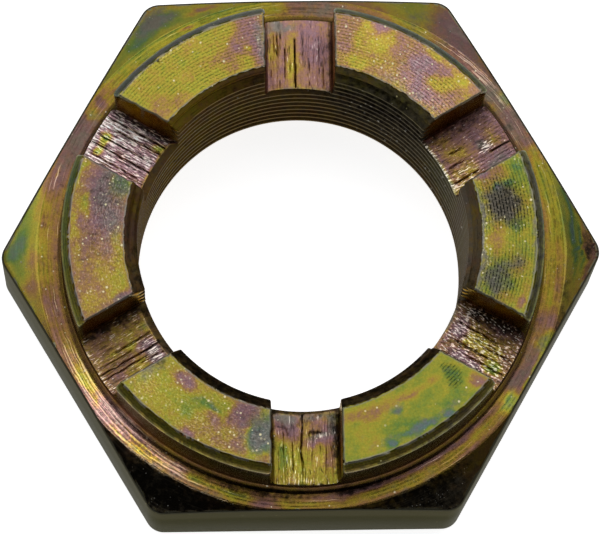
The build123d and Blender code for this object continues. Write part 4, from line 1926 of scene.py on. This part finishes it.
FINISHES: dict[Finish, PlatedSurface] = {
    Finish.FACED: PlatedSurface(
        "faced_plating", clouding=0.42, cloud_size=1.5 * MM, groove_shade=0.58, fringe=0.08, depth=9e-6,
        grit=0.46, grain=9e-6, speck_spacing=0.40 * MM, speck_share=0.34, speck_size=0.36,
        speck_colour="ece2b4", fleck=(0.16 * MM, 0.4 * MM), fleck_highlight=0.20, ridge=0.50,
    ),
    Finish.BEVELLED: PlatedSurface(
        "bevelled_plating", shade="a8a698", clouding=0.3, pitch=0.26 * MM, cover=0.5, groove_shade=0.5,
        speck_share=0.1, grit=0.8, streak=0.35, grain_length=12 * MM, torn=0.5,
        fleck=(0.12 * MM, 3 * MM), fleck_highlight=0.25,
    ),
    Finish.TURNED: PlatedSurface(
        "turned_plating", shade="c8c2b2", clouding=0.3, cloud_size=3 * MM, pitch=0.45 * MM,
        cover=0.6, grain_length=20 * MM, streak=0.6, speck_share=0.16, roughness=(0.2, 0.3),
        grit=0.36, groove_shade=0.5, depth=7e-6, fleck=(0.16 * MM, 6 * MM), fleck_highlight=1.1, torn=0.5,
        speck_spacing=0.4 * MM, speck_size=0.3, speck_colour="ece2c4",
    ),
    Finish.CHAMFERED: PlatedSurface(
        "chamfered_plating", shade="dcd6c8", clouding=0.3, cloud_size=4 * MM, pitch=0.6 * MM,
        cover=0.15, grain_length=20 * MM, streak=0.4, speck_share=0.22, roughness=(0.12, 0.2),
        grit=0.3, grain=1e-6, depth=1e-6, fleck=(0.12 * MM, 6 * MM), fleck_highlight=0.15, metal=0.8,
        speck_spacing=0.28 * MM, speck_size=0.3, speck_colour="90908a",
    ),
    Finish.MILLED: PlatedSurface(
        "milled_plating", clouding=0.45, cloud_size=1.6 * MM, pitch=0.34 * MM, wander=1.4,
        depth=14e-6, cover=0.3, grain_length=3.5 * MM, groove_shade=0.55, grain=24e-6, speck_share=0.2,
        streak=0.3, grit=0.4, speck_spacing=0.4 * MM, speck_colour="e8e0c8",
        roughness=(0.28, 0.42), fleck=(0.14 * MM, 1.0 * MM), fleck_highlight=1.8, torn=0.75,
    ),
    Finish.WALLED: PlatedSurface(
        "slot_wall_plating", shade="dcc8a0", clouding=0.3, pitch=0.5 * MM, cover=0.3,
        groove_shade=0.3, speck_share=0.02, roughness=(0.2, 0.3), grit=0.1, edge_tint="e4d4ac",
    ),
    Finish.THREADED: PlatedSurface(
        "threaded_plating", shade="b0aa9e", metal=0.8, clouding=0.3, pitch=0.1 * MM, cover=0.4,
        depth=2e-6, groove_shade=0.3, speck_share=0.25, speck_size=0.3, speck_colour="d8d4c8",
        roughness=(0.40, 0.52), edge_tint="b4ac94",
    ),
    Finish.COUNTERSUNK: PlatedSurface(
        "countersunk_plating", shade="b4ac98", metal=0.9, clouding=0.5, pitch=0.2 * MM, cover=0.5,
        depth=2e-6, groove_shade=0.4, speck_share=0.1, roughness=(0.28, 0.4), edge_tint="b0a688",
        fleck=(0.10 * MM, 4 * MM), torn=0.5,
    ),
    Finish.FORGED: PlatedSurface(
        "dark_flat_plating", shade="55534c", clouding=0.12, cover=0.1, groove_shade=0.1, grain=2e-6,
        speck_share=0.05, rim_colour="4a4840", roughness=(0.36, 0.46), grit=0.3,
        edge_tint="b0aea2",
    ),
}


# ---------------------------------------------------------------- nut


def placed(name: str, data: bpy.types.ID) -> bpy.types.Object:
    """Puts a mesh, lamp or camera into the scene as an object of the same name."""
    made = bpy.data.objects.new(name, data)
    bpy.context.scene.collection.objects.link(made)
    return made


@dataclass
class CastleNut:
    """The whole nut as one closed piece, with edges sharper than an angle left crisp."""

    drawing: Drawing
    sharp: float = math.radians(50)

    def build(self) -> bpy.types.Object:
        """Joins the regions' patches into one mesh object."""
        columns = Columns.around(self.drawing)
        skin, bore = Skin(), Bore(self.drawing, columns)
        crown = Crown(self.drawing, columns)
        crown.build(skin, bore, bore.build(skin))
        Hexagon(self.drawing, columns).build(skin)
        mesh = skin.mesh("castle_nut_skin")
        sheet = bmesh.new()
        sheet.from_mesh(mesh)
        bmesh.ops.remove_doubles(sheet, verts=sheet.verts, dist=WELD)
        bmesh.ops.dissolve_degenerate(sheet, edges=sheet.edges, dist=WELD / 2)
        bmesh.ops.recalc_face_normals(sheet, faces=sheet.faces)
        bore.sink(sheet)
        crown.fill_in(sheet)
        crown.tear(sheet)
        bmesh.ops.triangulate(sheet, faces=[f for f in sheet.faces if len(f.verts) > 4])
        loose = sum(len(e.link_faces) != 2 for e in sheet.edges)
        LOG.info("skin: %d faces, %d edges not closed", len(sheet.faces), loose)
        sheet.to_mesh(mesh)
        sheet.free()
        mesh.shade_smooth()
        mesh.set_sharp_from_angle(angle=self.sharp)
        return placed("castle_nut_body", mesh)

    @staticmethod
    def dress(piece: bpy.types.Object) -> None:
        """Gives the piece a material for each finish."""
        effects = Effects.build()
        for finish in Finish:
            piece.data.materials.append(FINISHES[finish].material(effects))
        LOG.info("%s dressed in %d finishes", piece.name, len(Finish))


# ---------------------------------------------------------------- studio


@dataclass(frozen=True)
class Softbox:
    """One large soft lamp.

    Args:
        name: Name of the lamp.
        place: Its middle, in metres.
        size: Width and depth, in metres.
        glow: Brightness of its face; 1 shows as white.
        tint: Colour.
    """

    name: str
    place: tuple[float, float, float]
    size: tuple[float, float]
    glow: float
    tint: tuple[float, float, float] = (1.0, 1.0, 1.0)

    def build(self) -> bpy.types.Object:
        """Adds the lamp, facing the origin."""
        lamp = bpy.data.lights.new(self.name, "AREA")
        lamp.shape = "RECTANGLE"
        lamp.size, lamp.size_y = self.size
        lamp.energy = self.glow * math.pi * self.size[0] * self.size[1]
        lamp.color = self.tint
        holder = placed(self.name, lamp)
        holder.location = self.place
        holder.rotation_mode = "QUATERNION"
        holder.rotation_quaternion = (-Vector(self.place)).to_track_quat("-Z", "Y")
        return holder


@dataclass
class Studio:
    """Pale floor, soft light and the camera.

    Args:
        drawing: Gives the width across flats, in which the camera's places are counted.
        turn: Direction of the camera round the nut, in degrees.
        lean: How far it looks from straight above, in degrees.
        roll: How far it is rolled, in degrees.
        distance: Its distance, in widths.
        slide: How far the nut stands off the middle of the view, in widths.
        frame_width: Width of the view.
        across_flats_in_frame: How much of that the nut's width takes up.
        white: Strength with which the floor shows white.
        card_edges: Left, right, front and back edge of the black card, in metres.
        sky: Strength of the light from all round.
    """

    drawing: Drawing
    turn: float = 7.70
    lean: float = 13.16
    roll: float = -6.89
    distance: float = 8.361
    slide: tuple[float, float] = (-0.0035, -0.0232)
    frame_width: float = 600.0
    across_flats_in_frame: float = 510.6
    lamps: tuple[Softbox, ...] = (
        Softbox("overhead_softbox", (0.0, 0.30, 0.80), (1.25, 0.52), 1.34),
        Softbox("back_softbox", (0.0, 1.05, 0.75), (1.30, 0.60), 0.42),
    )
    floor_reach: float = 3.0
    white: float = 0.87
    card_edges: tuple[float, float, float, float] = (-0.8, 0.8, -1.2, 0.04)
    card_height: float = 1.0
    sky: float = 0.38

    def camera(self) -> None:
        """Looks down on the crown, a little from the front."""
        unit = self.drawing.across_flats
        turned = Matrix.Rotation(math.radians(self.turn), 3, "Z")
        leaned = Matrix.Rotation(math.radians(-self.lean), 3, "X")
        rolled = Matrix.Rotation(math.radians(self.roll), 3, "Z")
        to_camera = rolled @ leaned @ turned
        data = bpy.data.cameras.new("camera")
        shown = self.across_flats_in_frame / self.frame_width
        data.lens = data.sensor_width * shown * self.distance
        data.clip_start = 0.05
        holder = placed("camera", data)
        back = Vector((-self.slide[0], -self.slide[1], self.distance)) * unit
        pose = to_camera.transposed().to_4x4()
        pose.translation = to_camera.transposed() @ back
        holder.matrix_world = pose
        bpy.context.scene.camera = holder

    @staticmethod
    def _board(name: str, edges: tuple[float, ...], height: float, tone: float) -> Graph:
        """Adds a flat grey board that isn't part of the nut, and returns its material's graph.

        Args:
            name: Name of the board and its material.
            edges: Its left, right, front and back edges, in metres.
            height: Its height, in metres.
            tone: How light it is, from 0 to 1.
        """
        left, right, front, back = edges
        ground = ((left, front), (right, front), (right, back), (left, back))
        mesh = bpy.data.meshes.new(name)
        mesh.from_pydata([(x, y, height) for x, y in ground], [], [(0, 1, 2, 3)])
        placed(name, mesh)
        made = bpy.data.materials.new(name)
        made.use_nodes = True
        shader = made.node_tree.nodes["Principled BSDF"]
        shader.inputs["Base Color"].default_value = (tone, tone, tone, 1)
        shader.inputs["Roughness"].default_value = 0.9
        mesh.materials.append(made)
        return Graph(made.node_tree)

    def floor(self) -> None:
        """A pale floor that shows white, with the nut's shadow on it."""
        reach = self.floor_reach
        graph = self._board("floor", (-reach, reach, -reach, reach), -0.02 * MM, 0.8)
        shader = graph.tree.nodes["Principled BSDF"]
        shader.inputs["Specular IOR Level"].default_value = 0.1
        seen = graph.add("LightPath").outputs
        kinds = ("Is Camera Ray", "Is Glossy Ray", "Is Transmission Ray")
        camera, gloss, through = (Value(graph, seen[kind]) for kind in kinds)
        white = graph.math("MAXIMUM", graph.math("MAXIMUM", camera, gloss), through)
        shader.inputs["Emission Color"].default_value = (1, 1, 1, 1)
        graph.feed(shader.inputs["Emission Strength"], white * self.white)

    def card(self) -> None:
        """A black card over the front of the set, behind the camera."""
        graph = self._board("black_card", self.card_edges, self.card_height, 0.01)
        shader = graph.tree.nodes["Principled BSDF"]
        shader.inputs["Specular IOR Level"].default_value = 0.0

    def build(self) -> None:
        """Sets the studio up."""
        scene = bpy.context.scene
        scene.view_settings.view_transform = "Standard"
        world = bpy.data.worlds.new("studio")
        world.use_nodes = True
        back = world.node_tree.nodes["Background"]
        back.inputs[0].default_value = (1, 1, 1, 1)
        back.inputs[1].default_value = self.sky
        scene.world = world
        self.camera()
        self.floor()
        self.card()
        for lamp in self.lamps:
            lamp.build()
        LOG.info("studio with %d lamps", len(self.lamps))


def main() -> None:
    """Builds the nut, its finishes and the studio."""
    logging.basicConfig(level=logging.INFO, format="%(name)s: %(message)s")
    noise.seed_set(SWIRL_SEED)
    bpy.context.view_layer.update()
    drawing = Drawing.from_frame()
    nut = CastleNut(drawing)
    piece = nut.build()
    nut.dress(piece)
    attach(piece, "root")
    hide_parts(NODE)
    Studio(drawing).build()


if __name__ == "__main__":
    main()
